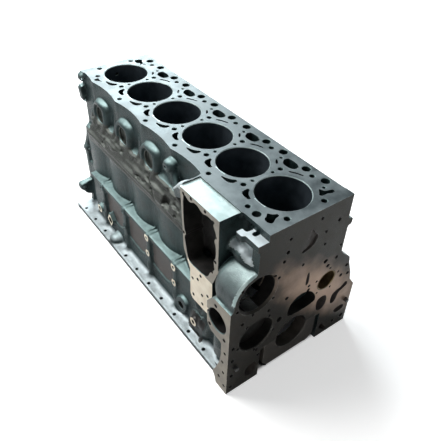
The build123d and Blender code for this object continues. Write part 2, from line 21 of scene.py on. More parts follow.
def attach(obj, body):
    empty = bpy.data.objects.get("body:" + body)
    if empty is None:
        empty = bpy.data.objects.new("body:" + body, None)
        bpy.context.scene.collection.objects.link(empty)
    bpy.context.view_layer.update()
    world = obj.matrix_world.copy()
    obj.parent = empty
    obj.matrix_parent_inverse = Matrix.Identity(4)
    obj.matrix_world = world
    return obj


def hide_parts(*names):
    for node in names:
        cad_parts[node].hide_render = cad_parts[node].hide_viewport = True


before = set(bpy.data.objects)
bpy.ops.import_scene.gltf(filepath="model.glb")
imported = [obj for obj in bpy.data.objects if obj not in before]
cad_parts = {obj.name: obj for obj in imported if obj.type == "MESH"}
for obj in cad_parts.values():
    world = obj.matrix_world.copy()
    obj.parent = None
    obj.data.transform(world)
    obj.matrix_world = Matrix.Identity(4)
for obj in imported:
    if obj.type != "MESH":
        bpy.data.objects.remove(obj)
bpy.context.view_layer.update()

MM = 0.001
TURN = 2 * math.pi
# Distance that stands for empty space.
FAR = 60.0
# How far a cutter stands out of the face that it enters.
CLEAR = 6.0
# How near to a milled plane its faces lie.
NEAR = 0.15
# Depth of a drilled hole's cone as a share of the radius.
DRILL_POINT = 0.6
# Place of the first split of a long cutter as a share of the distance between splits.
SPLIT_START = 0.618
log = logging.getLogger("engine_block")

Point = tuple[float, float, float]
Outline = Sequence[tuple[float, float]]
Distance = Callable[[np.ndarray, np.ndarray, np.ndarray], np.ndarray]


class Axis(Enum):
    """The axis that a prism, a rod or a drill runs along."""

    X = 0
    Y = 1
    Z = 2

    @property
    def plan(self) -> tuple[int, int]:
        """The two other axes, in the order that outlines use."""
        return {0: (1, 2), 1: (0, 2), 2: (0, 1)}[self.value]

    def plan_reach(self, grid: Sequence[np.ndarray], u: float, v: float) -> np.ndarray:
        """Distance of each point from a line along the axis."""
        first, second = self.plan
        return np.hypot(spread(grid[first] - u, first), spread(grid[second] - v, second))

    def holder(self, low: Sequence[float], high: Sequence[float], a0: float,
               a1: float) -> tuple[Point, Point]:
        """Corners of the box that holds a solid, from its reach in the plan and its two ends.

        Args:
            low: Least coordinates in the plan.
            high: Greatest coordinates in the plan.
            a0: Where it starts on the axis.
            a1: Where it ends.

        Returns:
            Low and high corner of the box.
        """
        corners = np.zeros((2, 3))
        corners[:, list(self.plan)] = (low, high)
        corners[:, self.value] = (a0, a1)
        return tuple(corners[0]), tuple(corners[1])


class Surface(Enum):
    """Material slots of the block, in slot order."""

    CAST = 0
    DECK = 1
    FACE = 2
    BORE = 3
    RIM = 4
    DRILLED = 5
    PANEL = 6
    PAD = 7
    # Lighter milled metal: painted light on upward faces and painted highlights on edges.
    LIT_MILLED = 8
    # Lighter cast iron: painted light.
    LIT_CAST = 9
    # Near-black: painted shade in holes and recesses.
    HOLLOW = 10
    # Darker cast iron with less painted top light.
    BAND = 11
    # Lighter cast iron: painted light on the pump barrel's lit side.
    LIT_BARREL = 12


@dataclass(frozen=True)
class Solid:
    """A solid given by its distance function and the box that holds it."""

    low: Point
    high: Point
    distance: Distance


def spread(values: np.ndarray, axis: int) -> np.ndarray:
    """One coordinate laid along its own axis of a block of points."""
    return np.expand_dims(values, tuple(i for i in range(3) if i != axis))


def plan_distance(u: np.ndarray, v: np.ndarray, outline: Outline) -> np.ndarray:
    """Distance in a plane to a closed outline, negative inside.

    The distance to each side is measured to the nearest point of that side. A point is inside
    where a line from it crosses the outline an odd number of times.

    Args:
        u: First coordinates.
        v: Second coordinates.
        outline: Corners of the outline.

    Returns:
        The distances on the grid of u and v.
    """
    start = np.asarray(outline, np.float32)[:, :, None, None]
    end = np.roll(start, -1, axis=0)
    side = end - start
    du = u[None, :, None] - start[:, 0]
    dv = v[None, None, :] - start[:, 1]
    length = np.maximum(side[:, 0] ** 2 + side[:, 1] ** 2, 1e-9)
    along = np.clip((du * side[:, 0] + dv * side[:, 1]) / length, 0, 1)
    near = np.hypot(du - along * side[:, 0], dv - along * side[:, 1]).min(axis=0)
    spans = (dv < 0) != (v[None, None, :] < end[:, 1])
    rise = np.where(side[:, 1] == 0, 1, side[:, 1])
    crossed = spans & (du < side[:, 0] * dv / rise)
    return np.where(crossed.sum(axis=0) % 2 == 1, -near, near)


def softened(outline: Outline, rounds: int = 2, keep: float = 0.75) -> list[tuple[float, float]]:
    """Rounds an outline by cutting its corners again and again.

    Args:
        outline: Corners of the outline.
        rounds: How often the corners are cut.
        keep: Weight of the nearer corner in each new point.

    Returns:
        Corners of the rounded outline.
    """
    points = np.asarray(outline, float)
    for _ in range(rounds):
        following = np.roll(points, -1, axis=0)
        first = keep * points + (1 - keep) * following
        second = (1 - keep) * points + keep * following
        points = np.stack([first, second], axis=1).reshape(-1, 2)
    return [tuple(p) for p in points]


def rounded(plan: np.ndarray, cap: np.ndarray, edge: float) -> np.ndarray:
    """Distance to a prism from its plan and cap distances, with its end edges rounded.

    Args:
        plan: Distances in the plane across the axis.
        cap: Distances beyond the ends on the axis.
        edge: Radius of the rounded edges.

    Returns:
        The joined distances.
    """
    a = plan + edge
    b = cap + edge
    return np.minimum(np.maximum(a, b), 0) + np.hypot(np.maximum(a, 0), np.maximum(b, 0)) - edge


def prism(axis: Axis, outline: Outline, a0: float, a1: float, edge: float = 2.0) -> Solid:
    """An outline carried along an axis.

    Args:
        axis: The axis that the outline is carried along.
        outline: Corners in the plane of the two other axes.
        a0: Where the prism starts.
        a1: Where it ends.
        edge: Radius of the rounded end edges.

    Returns:
        The solid.
    """
    a0, a1 = min(a0, a1), max(a0, a1)
    corners = np.asarray(outline)

    def distance(*grid: np.ndarray) -> np.ndarray:
        """Plan distance and cap distance, joined with rounded edges.

        Args:
            grid: Coordinates along each axis.

        Returns:
            Distances at the points of the grid.
        """
        u, v = (grid[i] for i in axis.plan)
        plan = np.expand_dims(plan_distance(u, v, outline), axis.value)
        cap = spread(np.abs(grid[axis.value] - (a0 + a1) / 2) - (a1 - a0) / 2, axis.value)
        return rounded(plan, cap, edge)

    return Solid(*axis.holder(corners.min(axis=0), corners.max(axis=0), a0, a1), distance)


def rod(axis: Axis, u: float, v: float, r: float, a0: float, a1: float, edge: float = 2.0) -> Solid:
    """A round bar along an axis, with rounded end edges.

    Args:
        axis: The axis that it runs along.
        u: First coordinate of its centre line.
        v: Second coordinate of its centre line.
        r: Radius.
        a0: Where it starts on the axis.
        a1: Where it ends.
        edge: Radius of the rounded edges.

    Returns:
        The solid.
    """
    a0, a1 = min(a0, a1), max(a0, a1)

    def distance(*grid: np.ndarray) -> np.ndarray:
        """Distance from the bar's centre line less its radius, joined with its end caps."""
        cap = spread(np.abs(grid[axis.value] - (a0 + a1) / 2) - (a1 - a0) / 2, axis.value)
        return rounded(axis.plan_reach(grid, u, v) - r, cap, edge)

    return Solid(*axis.holder((u - r, v - r), (u + r, v + r), a0, a1), distance)


def box(x0: float, x1: float, y0: float, y1: float, z0: float, z1: float, edge: float = 3.0) -> Solid:
    """A box with every edge rounded.

    Args:
        x0: Where it starts along the crankshaft.
        x1: Where it ends.
        y0: Where it starts across the block.
        y1: Where it ends.
        z0: Where it starts in height.
        z1: Where it ends.
        edge: Radius of the rounded edges.

    Returns:
        The solid.
    """
    low = np.array([min(x0, x1), min(y0, y1), min(z0, z1)])
    high = np.array([max(x0, x1), max(y0, y1), max(z0, z1)])
    middle = (low + high) / 2
    half = (high - low) / 2 - edge

    def distance(*grid: np.ndarray) -> np.ndarray:
        """How far a point lies outside the shrunken box, less the edge radius.

        Args:
            grid: Coordinates along each axis.

        Returns:
            Distances at the points of the grid.
        """
        q = [spread(np.abs(grid[i] - middle[i]) - half[i], i) for i in range(3)]
        outside = np.sqrt(sum(np.maximum(part, 0) ** 2 for part in q))
        inside = np.minimum(np.maximum(np.maximum(q[0], q[1]), q[2]), 0)
        return outside + inside - edge

    return Solid(tuple(low), tuple(high), distance)


def pipe(path: Sequence[Point], r: float | Sequence[float]) -> Solid:
    """A round bar that follows a path, with a radius that may change along it.

    Each stretch is every point's distance to the nearest point of the stretch, less the radius
    there. The pipe is the least of these.

    Args:
        path: Points of the centre line.
        r: One radius, or one for each point.

    Returns:
        The solid.
    """
    points = np.asarray(path, float)
    radii = np.broadcast_to(np.asarray(r, float), len(points))
    reach = radii.max()

    def distance(*grid: np.ndarray) -> np.ndarray:
        """Least distance over the stretches.

        Args:
            grid: Coordinates along each axis.

        Returns:
            Distances at the points of the grid.
        """
        best = None
        for p, q, rp, rq in zip(points[:-1], points[1:], radii[:-1], radii[1:]):
            side = q - p
            d = [spread(grid[i] - p[i], i) for i in range(3)]
            along = np.clip(sum(d[i] * side[i] for i in range(3)) / max(side @ side, 1e-9), 0, 1)
            gap = np.sqrt(sum((d[i] - along * side[i]) ** 2 for i in range(3)))
            gap = gap - (rp + along * (rq - rp))
            best = gap if best is None else np.minimum(best, gap)
        return best

    return Solid(tuple(points.min(axis=0) - reach), tuple(points.max(axis=0) + reach), distance)


def dome(centre: Point, radii: Point) -> Solid:
    """An ellipsoid: its distance is estimated from the scaled radius and its slope.

    Args:
        centre: The centre.
        radii: Half of its size along each axis.

    Returns:
        The solid.
    """
    c = np.asarray(centre)
    s = np.asarray(radii)

    def distance(*grid: np.ndarray) -> np.ndarray:
        """Scaled radius times its excess over one, divided by its slope.

        Args:
            grid: Coordinates along each axis.

        Returns:
            Distances at the points of the grid.
        """
        d = [spread(grid[i] - c[i], i) for i in range(3)]
        k0 = np.sqrt(sum((d[i] / s[i]) ** 2 for i in range(3)))
        k1 = np.sqrt(sum((d[i] / s[i] ** 2) ** 2 for i in range(3)))
        return k0 * (k0 - 1) / np.maximum(k1, 1e-6)

    return Solid(tuple(c - s), tuple(c + s), distance)


def ring(axis: Axis, centre: Point, r: float, thick: float) -> Solid:
    """A round lip that goes once round an axis.

    Args:
        axis: The axis that it goes round.
        centre: The centre.
        r: Radius.
        thick: Radius of the lip itself.

    Returns:
        The solid.
    """
    c = np.asarray(centre)
    reach = np.full(3, r + thick)
    reach[axis.value] = thick

    def distance(*grid: np.ndarray) -> np.ndarray:
        """Distance to the ring's centre line less its thickness."""
        plan = axis.plan_reach(grid, *c[list(axis.plan)]) - r
        return np.hypot(plan, spread(grid[axis.value] - c[axis.value], axis.value)) - thick

    return Solid(tuple(c - reach), tuple(c + reach), distance)


class CastField:
    """A block of points that holds the distance to the casting's skin."""

    def __init__(self, low: Point, high: Point, step: float) -> None:
        """Starts with empty space.

        Args:
            low: Lowest corner of the block of points.
            high: Highest corner.
            step: Distance between neighbouring points.
        """
        self.low = np.asarray(low, float)
        self.step = step
        count = np.ceil((np.asarray(high) - self.low) / step).astype(int) + 1
        self.values = np.full(count, FAR, np.float32)

    def alike(self) -> "CastField":
        """Empty space over the same block of points."""
        high = self.low + self.step * (np.array(self.values.shape) - 1)
        return CastField(tuple(self.low), tuple(high), self.step)

    def window(self, solid: Solid, reach: float) -> tuple[tuple[slice, ...], list[np.ndarray]]:
        """The part of the block that a solid can change, and its coordinates.

        Args:
            solid: The solid.
            reach: How far outside its box the solid still counts.

        Returns:
            Slices of the block, and coordinates along each axis.
        """
        first = np.floor((np.asarray(solid.low) - reach - self.low) / self.step).astype(int)
        last = np.ceil((np.asarray(solid.high) + reach - self.low) / self.step).astype(int) + 1
        first = np.clip(first, 0, self.values.shape)
        last = np.clip(last, 0, self.values.shape)
        part = tuple(slice(a, b) for a, b in zip(first, last))
        grid = [
            (self.low[i] + self.step * np.arange(first[i], last[i])).astype(np.float32)
            for i in range(3)
        ]
        return part, grid

    def add(self, *solids: Solid, blend: float = 4.0) -> None:
        """Joins solids on with a fillet: the least distance, lowered where two are alike."""
        for solid in solids:
            part, grid = self.window(solid, blend + 3 * self.step)
            a = self.values[part]
            b = solid.distance(*grid)
            h = np.maximum(blend - np.abs(a - b), 0) / blend
            self.values[part] = np.minimum(a, b) - h * h * blend / 4

    def cut(self, *solids: Solid, blend: float = 3.0) -> None:
        """Takes solids away with a rounded edge: the greatest distance, raised likewise."""
        for solid in solids:
            part, grid = self.window(solid, blend + 3 * self.step)
            a = self.values[part]
            b = -solid.distance(*grid)
            h = np.maximum(blend - np.abs(a - b), 0) / blend
            self.values[part] = np.maximum(a, b) + h * h * blend / 4

    def skin(self, slack: float) -> tuple[np.ndarray, np.ndarray, np.ndarray]:
        """The surface where the distance is nought.

        Args:
            slack: How far flat places may be thinned out, from 0 to 1.

        Returns:
            Points in millimetres, triangles and four-sided faces.
        """
        band = 3 * self.step
        grid = openvdb.FloatGrid(band)
        grid.copyFromArray(np.clip(self.values, -band, band))
        grid.transform = openvdb.createLinearTransform(voxelSize=self.step)
        points, triangles, quads = grid.convertToPolygons(isovalue=0.0, adaptivity=slack)
        return points + self.low, triangles, quads


def mesh_object(name: str, points: np.ndarray, faces: list[list[int]]) -> bpy.types.Object:
    """Makes a mesh object from points in millimetres.

    Args:
        name: Name of the piece.
        points: One row for each point.
        faces: Corners of each face, as rows of points.

    Returns:
        The object, at the origin.
    """
    mesh = bpy.data.meshes.new(name)
    mesh.from_pydata((np.asarray(points) * MM).tolist(), [], faces)
    mesh.validate()
    piece = bpy.data.objects.new(name, mesh)
    bpy.context.scene.collection.objects.link(piece)
    return piece


@dataclass
class Shell:
    """Closed shells gathered into one mesh, by arrays of points and faces."""

    points: list[np.ndarray] = field(default_factory=list)
    faces: list[list[int]] = field(default_factory=list)
    count: int = 0

    def append(self, points: np.ndarray, faces: list[list[int]]) -> None:
        """Adds one closed shell.

        Args:
            points: One row for each point.
            faces: Corners of each face.
        """
        self.points.append(points)
        self.faces += [[i + self.count for i in f] for f in faces]
        self.count += len(points)

    def prism(self, axis: Axis, outline: Outline, a0: float, a1: float) -> None:
        """Adds an outline carried along an axis, closed by one face at each end.

        Args:
            axis: The axis that it runs along.
            outline: Corners of the outline.
            a0: Where it starts on the axis.
            a1: Where it ends.
        """
        plan = np.asarray(outline, float)
        n = len(plan)
        area = np.sum(plan[:, 0] * np.roll(plan[:, 1], -1) - np.roll(plan[:, 0], -1) * plan[:, 1])
        turned = (area < 0) != (axis is Axis.Y)
        if turned:
            plan = plan[::-1]
        points = np.zeros((2 * n, 3))
        points[:, list(axis.plan)] = np.vstack([plan, plan])
        points[:n, axis.value] = min(a0, a1)
        points[n:, axis.value] = max(a0, a1)
        sides = [[i, (i + 1) % n, n + (i + 1) % n, n + i] for i in range(n)]
        ends = [list(range(n))[::-1], list(range(n, 2 * n))]
        self.append(points, sides + ends)

    def box(self, x0: float, x1: float, y0: float, y1: float, z0: float, z1: float) -> None:
        """Adds a plain box."""
        self.prism(Axis.Z, [(x0, y0), (x1, y0), (x1, y1), (x0, y1)], z0, z1)

    def lathe(self, axis: Axis, u: float, v: float, profile: Outline, count: int = 24) -> None:
        """Adds a turned shape: each radius of the profile is carried once round the axis.

        Args:
            axis: The axis of turning.
            u: First coordinate of the axis.
            v: Second coordinate of the axis.
            profile: Rows of radius and place along the axis, that start and end at radius 0.
            count: Sides of the turned shape.
        """
        shape = np.asarray(profile, float)
        if shape[-1, 1] < shape[0, 1]:
            shape = shape[::-1]
        rings = shape[1:-1]
        a = np.arange(count) * TURN / count
        if axis is Axis.Y:
            a = -a
        points = np.zeros((len(rings) * count + 2, 3))
        points[:-2, axis.plan[0]] = u + np.outer(rings[:, 0], np.cos(a)).ravel()
        points[:-2, axis.plan[1]] = v + np.outer(rings[:, 0], np.sin(a)).ravel()
        points[:-2, axis.value] = np.repeat(rings[:, 1], count)
        for row, end in ((-2, 0), (-1, -1)):
            points[row, axis.plan[0]] = u
            points[row, axis.plan[1]] = v
            points[row, axis.value] = shape[end, 1]
        low, high = len(points) - 2, len(points) - 1
        faces = [[low, (i + 1) % count, i] for i in range(count)]
        for j in range(len(rings) - 1):
            p, q = j * count, (j + 1) * count
            faces += [[p + i, p + (i + 1) % count, q + (i + 1) % count, q + i] for i in range(count)]
        last = (len(rings) - 1) * count
        faces += [[high, last + i, last + (i + 1) % count] for i in range(count)]
        self.append(points, faces)

    def drill(self, axis: Axis, side: int, mouth: float, u: float, v: float, r: float, depth: float,
              chamfer: float = 0.8, count: int = 24) -> None:
        """Adds a drilled hole with a countersunk mouth and a cone at its end.

        Args:
            axis: The axis of the hole.
            side: 1 where the hole enters from the high side of the axis, -1 from the low side.
            mouth: Where the machined face lies.
            u: First coordinate of the hole.
            v: Second coordinate of the hole.
            r: Radius.
            depth: Depth of the straight part.
            chamfer: Width of the countersink.
            count: Sides of the hole.
        """
        lip = r + chamfer
        rows = [(0, CLEAR), (lip + 0.02, CLEAR), (lip, 0), (r, -chamfer), (r, -depth),
                (0, -depth - DRILL_POINT * r)]
        self.lathe(axis, u, v, [(radius, mouth + side * place) for radius, place in rows], count)

    def build(self, name: str, split: Sequence[Axis] = (), pitch: float = 15.0) -> bpy.types.Object:
        """Makes the gathered shells one mesh object.

        Args:
            name: Name of the object.
            split: Axes across which long faces are split, so that none ends up with a hole.
            pitch: Distance between the splits.

        Returns:
            The object.
        """
        piece = mesh_object(name, np.vstack(self.points), self.faces)
        work = bmesh.new()
        work.from_mesh(piece.data)
        for axis in split:
            normal = [0.0, 0.0, 0.0]
            normal[axis.value] = 1.0
            places = np.vstack(self.points)[:, axis.value]
            for place in np.arange(places.min() + SPLIT_START * pitch, places.max(), pitch):
                every = work.verts[:] + work.edges[:] + work.faces[:]
                bmesh.ops.bisect_plane(work, geom=every, dist=1e-7, plane_no=normal,
                                       plane_co=[part * place * MM for part in normal])
        bmesh.ops.triangulate(work, faces=[f for f in work.faces if len(f.verts) > 4])
        work.to_mesh(piece.data)
        work.free()
        return piece


def turned(name: str, axis: Axis, u: float, v: float, profile: Outline, count: int) -> bpy.types.Object:
    """One turned piece, as a mesh object.

    Args:
        name: Name of the object.
        axis: The axis that it runs along.
        u: First coordinate of its centre line.
        v: Second coordinate of its centre line.
        profile: Rows of radius and place along the axis.
        count: Sides of the turned shape.

    Returns:
        The object.
    """
    shell = Shell()
    shell.lathe(axis, u, v, profile, count)
    return shell.build(name)


def settled(piece: bpy.types.Object) -> bpy.types.Object:
    """Turns a piece's modifiers into its mesh, and gives the piece back.

    Args:
        piece: The piece.

    Returns:
        The same piece.
    """
    view = bpy.context.evaluated_depsgraph_get()
    result = bpy.data.meshes.new_from_object(piece.evaluated_get(view))
    piece.modifiers.clear()
    old = piece.data
    piece.data = result
    bpy.data.meshes.remove(old)
    return piece


def machined(piece: bpy.types.Object, cutters: Sequence[bpy.types.Object]) -> None:
    """Takes the cutters out of a piece, one after the other, and removes them."""
    for cutter in cutters:
        work = piece.modifiers.new(cutter.name, "BOOLEAN")
        work.operation = "DIFFERENCE"
        work.solver = "MANIFOLD"
        work.object = cutter
        before = len(piece.data.polygons)
        settled(piece)
        log.info("cutter %s: faces %d to %d", cutter.name, before, len(piece.data.polygons))
        bpy.data.objects.remove(cutter)


@dataclass(frozen=True)
class EngineSizes:
    """Driving sizes of the block, in millimetres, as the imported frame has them.

    The stock is what the casting has left on for the machined faces.
    """

    pitch: float = 120.0
    bore_r: float = 53.5
    barrel_wall: float = 7.0
    jacket_gap: float = 9.5
    bore_end_z: float = 113.0
    face_x: float = 377.0
    deck_z: float = 323.0
    deck_plate: float = 13.0
    rail_z: float = -88.0
    rail_y: float = 159.0
    rail_top_z: float = -76.0
    skirt_y: float = 127.0
    ledge_y: float = 131.0
    ledge_z: float = 66.0
    waist_y: float = 98.0
    rear_waist_y: float = 108.0
    skirt_rear_x: float = -305.0
    bulge_r: float = 115.0
    jacket_floor_z: float = 166.0
    rod_deck_y: float = 105.0
    cooler_front_y: float = 95.5
    housing_x0: float = 175.0
    housing_x1: float = 299.0
    housing_y: float = 143.0
    housing_top_z: float = 320.0
    housing_floor_z: float = 145.0
    pump_y: float = -107.0
    pump_z: float = 183.0
    pump_r: float = 42.6
    pump_wall: float = 15.0
    oil_y: float = -101.0
    oil_z: float = 63.0
    oil_r: float = 41.8
    pad_xs: tuple[float, float] = (-150.0, 90.0)
    pad_out: float = 11.0
    rib_bosses: tuple[float, float] = (53.0, 3.0)
    stock: float = 3.0
    corner_x0: float = 303.0
    corner_y: float = 170.0
    corner_step: float = 15.0
    port_x: float = 338.0
    port_z: float = 115.0
    port_r: float = 27.0
    wing_y: float = 183.0
    crank_r: float = 43.0
    cap_half: float = 73.5
    cap_bottom_z: float = -72.0
    slot_y: float = 85.5
    register_z: float = 3.0
    bulkhead: float = 24.0
    cam_y: float = 82.0
    cam_z: float = 108.0
    cam_r: float = 25.0
    plug_r: float = 22.0
    plug_z: float = 250.0
    plug_y: float = 99.0
    loose_boss: tuple[float, float] = (65.0, 286.0)

    @property
    def bores(self) -> list[float]:
        """Centres of the cylinders, from the front."""
        return [self.pitch * (2.5 - i) for i in range(6)]

    @property
    def mains(self) -> list[float]:
        """Centres of the main bearings, from the front."""
        return [self.pitch * (3 - i) for i in range(7)]

    @property
    def plugs(self) -> list[float]:
        """Centres of the core plugs, from the front."""
        return [x + 33 for x in self.bores[3:]]


@dataclass
class BlockCasting:
    """The cylinder block before machining: the pattern and its cores."""

    s: EngineSizes
    step: float = 2.5
    slack: float = 0.0
    most_faces: int = 118000

    def build(self) -> bpy.types.Object:
        """Builds the whole rough casting.

        Returns:
            The object, with stock left on for the machined faces.
        """
        s = self.s
        cast = CastField((-s.face_x - 8, -s.corner_y - 8, s.rail_z - 8),
                         (s.face_x + 8, s.wing_y + 8, s.deck_z + 8), self.step)
        self.upper_walls(cast)
        self.crankcase(cast)
        self.skirt(cast)
        self.gallery_band(cast)
        self.core_bosses(cast)
        self.rod_side(cast)
        self.rear_flange(cast)
        self.cooler_housing(cast)
        self.pump_barrel(cast)
        self.corner_box(cast)
        self.front_flange(cast)
        self.side_fittings(cast)
        self.cores(cast)
        points, triangles, quads = cast.skin(self.slack)
        log.info("casting: %d points, %d triangles, %d quads", len(points), len(triangles), len(quads))
        piece = mesh_object("block", points, triangles.tolist() + quads.tolist())
        thin = piece.modifiers.new("thin", "DECIMATE")
        thin.ratio = min(1.0, self.most_faces / (len(triangles) + 2 * len(quads)))
        return settled(piece)

    def scallop(self, x: np.ndarray) -> np.ndarray:
        """How far out the cooler side wall lies: a parabola between neighbouring bore centres."""
        t = (x - self.s.pitch * np.round(x / self.s.pitch)) / (self.s.pitch / 2)
        return 86 + 7 * t * t

    def upper_walls(self, cast: CastField) -> None:
        """Deck and water jacket walls, scalloped on the cooler side.

        Args:
            cast: The casting, changed in place.
        """
        s = self.s
        xs = np.linspace(-s.face_x - s.stock, s.housing_x0 - 3, 110)
        wall = list(zip(xs, -self.scallop(xs)))
        end = s.face_x + s.stock
        outline = wall + [(s.housing_x0, -s.cooler_front_y), (end, -s.cooler_front_y),
                          (end, s.rod_deck_y), (-end, s.rod_deck_y)]
        cast.add(prism(Axis.Z, outline, s.jacket_floor_z - 8, s.deck_z + s.stock, 2))

    def crankcase(self, cast: CastField) -> None:
        """Walls that bulge round each cylinder below the jacket, with soft creases between.

        Args:
            cast: The casting, changed in place.
        """
        s = self.s
        end = s.face_x + s.stock
        case = cast.alike()
        for x in s.bores:
            case.add(rod(Axis.Z, x, 0, s.bulge_r, s.ledge_z - 9, s.jacket_floor_z + 2, 6), blend=16)
        case.add(box(-end, end, -s.waist_y, s.waist_y, s.ledge_z - 9, s.jacket_floor_z, 2), blend=8)
        limit = box(-end, end, -s.bulge_r, s.bulge_r, s.rail_z, s.deck_z, 2)
        part, grid = case.window(limit, 0)
        held = np.full_like(case.values, FAR)
        held[part] = np.maximum(case.values[part], limit.distance(*grid))
        cast.values[:] = np.minimum(cast.values, held)

    def skirt(self, cast: CastField) -> None:
        """Ledge, side walls, ribs at the main bearings, recessed panels and the pan rail.

        Args:
            cast: The casting, changed in place.
        """
        s = self.s
        end = s.face_x + s.stock
        x0 = s.skirt_rear_x
        low = s.rail_z - s.stock
        cast.add(box(x0, end, -s.skirt_y, s.skirt_y, low, s.ledge_z - 3, 4), blend=3)
        cast.add(box(-end, x0 + 8, -s.rear_waist_y, s.rear_waist_y, low, s.ledge_z - 2, 4), blend=3)
        cast.add(box(x0 - 3, end - 3, -s.ledge_y, s.ledge_y, s.ledge_z - 11, s.ledge_z, 3), blend=3)
        for side in (-1, 1):
            for x in s.mains[1:]:
                a, b = (x + 20, x + s.pitch - 17) if x > x0 else (s.pitch, s.pitch)
                panel = softened([(a - 4, -32), (b, -32), (b, 46), (a - 4, 46), (a - 20, 28), (a - 24, 8),
                                  (a - 20, -14)])
                if x + s.pitch < 200 or side > 0:
                    cast.cut(prism(Axis.Y, panel, side * (s.skirt_y - 4), side * (s.skirt_y + 9), 2), blend=9)
            for x in s.mains[1:-1]:
                self.rib(cast, x, side)
        cast.add(box(-end, end, -s.rail_y, s.rail_y, low, s.rail_top_z, 2.5), blend=14)

    def rib(self, cast: CastField, x: float, side: int) -> None:
        """A double-lipped strip over the ledge, which goes down the skirt as a rib with two bosses.

        Args:
            cast: The casting, changed in place.
            x: Place along the crankshaft.
            side: 1 for the pushrod side, -1 for the cooler side.
        """
        s = self.s
        out = side * s.ledge_y
        wall = side * 104
        for half in (-5.5, 5.5):
            lip = [(x + half, wall - side * 6, s.ledge_z + 6), (x + half, side * 110, s.ledge_z + 1),
                   (x + half, out - side * 2, s.ledge_z + 0.2), (x + half, out, s.ledge_z - 9)]
            cast.add(pipe(lip, [2.8, 2.6, 2.6, 2.4]), blend=2)
        cast.add(box(x - 8, x + 8, side * 118, out + side * 1.5, -48, s.ledge_z - 4, 3), blend=6)
        foot = [(x, out - side * 3, -36), (x + 4, out - side * 2, -66), (x + 5, side * 134, s.rail_top_z)]
        cast.add(pipe(foot, [7, 6, 5]), blend=9)
        for z in s.rib_bosses:
            cast.add(rod(Axis.Y, x - 1, z, 9.5, side * 120, out + side * 3.5, 2), blend=3)

    def gallery_band(self, cast: CastField) -> None:
        """Oil gallery band below the jacket wall: long rounded ridges with small bosses.

        Args:
            cast: The casting, changed in place.
        """
        s = self.s
        x0, x1 = 72 - s.face_x, s.housing_x0 + 6
        outline = [(-78, 238), (-92, 232), (-102, 223), (-108, 214), (-113, 205), (-118, 197), (-119, 178),
                   (-112, 168), (-78, 158)]
        cast.add(prism(Axis.X, outline, x0, x1, 2), blend=10)
        rows = ((-100, 223, 3.5), (-111, 206, 4), (-118, 190, 5), (-116, 174, 5))
        for k, (y, z, r) in enumerate(rows):
            xs = np.linspace(x0, x1, 16)
            wave = 1.6 * np.sin(xs / (23 + 7 * k) + 1.7 * k)
            cast.add(pipe([(x, y - 0.4 * w, z + w) for x, w in zip(xs, wave)], list(r + 0.5 * wave)), blend=4)
        cast.cut(box(56, 82, -135, -106, 188, 209, 3), blend=3)
        for x in (-176, -58, 22, 104, 146):
            cast.add(dome((x, -112, 204), (12, 6, 6)), blend=6)
        self.band_lumps(cast, x0, x1)

    def band_lumps(self, cast: CastField, x0: float, x1: float) -> None:
        """Short uneven lumps and pits along the band, where cores and fins were dressed off.

        Args:
            cast: The casting, changed in place.
            x0: Rear end of the band.
            x1: Front end of the band.
        """
        draw = np.random.default_rng(11)
        for x in np.arange(x0 + 12, x1 - 24, 8.0):
            share = draw.uniform(0, 1)
            y, z = -102 - 15 * share, 224 - 44 * share
            length, rise, tilt = draw.uniform(8, 22), draw.uniform(2.4, 4.2), draw.uniform(-4, 4)
            if draw.uniform(0, 1) < 0.7:
                cast.add(pipe([(x - length, y, z - tilt), (x + length, y, z + tilt)], rise), blend=4)
            else:
                half = length / 2
                cast.cut(pipe([(x - half, y - 5, z - tilt), (x + half, y - 5, z + tilt)], rise), blend=4)

    def core_bosses(self, cast: CastField) -> None:
        """Round core plug bosses with a dished middle, a heavy brow and legs down to the band.

        Args:
            cast: The casting, changed in place.
        """
        s = self.s
        for x in s.plugs:
            z = s.plug_z
            cast.add(rod(Axis.Y, x, z, 33, -60, -s.plug_y + 3, 6), blend=7)
            cast.add(ring(Axis.Y, (x, -s.plug_y + 5, z), 29, 6.5), blend=6)
            cast.add(dome((x + 6, -91, z + 29), (24, 11, 10)), blend=8)
            cast.add(dome((x + 28, -89, z + 8), (12, 12, 24)), blend=8)
            legs = (([(-28, -93, 12), (-31, -94, -12), (-27, -101, -42)], (6, 6, 5), 7),
                    ([(28, -93, 0), (27, -97, -20), (24, -104, -44)], (8, 8, 6), 8),
                    ([(-4, -99, -30), (-6, -104, -44)], (6, 5), 6),
                    ([(-46, -88, 24), (-44, -91, 2), (-50, -96, -26)], (5, 6, 5), 8))
            for leg, radii, blend in legs:
                cast.add(pipe([(x + dx, y, z + dz) for dx, y, dz in leg], radii), blend=blend)
            cast.cut(rod(Axis.Y, x, z, s.plug_r + 3, -s.plug_y + 5, -125, 3), blend=4)
        x, z = s.loose_boss
        cast.add(rod(Axis.Y, x, z, 13, -60, -110, 5), blend=7)
        cast.add(dome((x + 4, -98, z + 8), (15, 12, 10)), blend=6)
        cast.add(pipe([(x + 6, -94, z - 8), (x + 26, -100, z - 34), (x + 40, -104, 232)], [7, 7, 6]), blend=8)

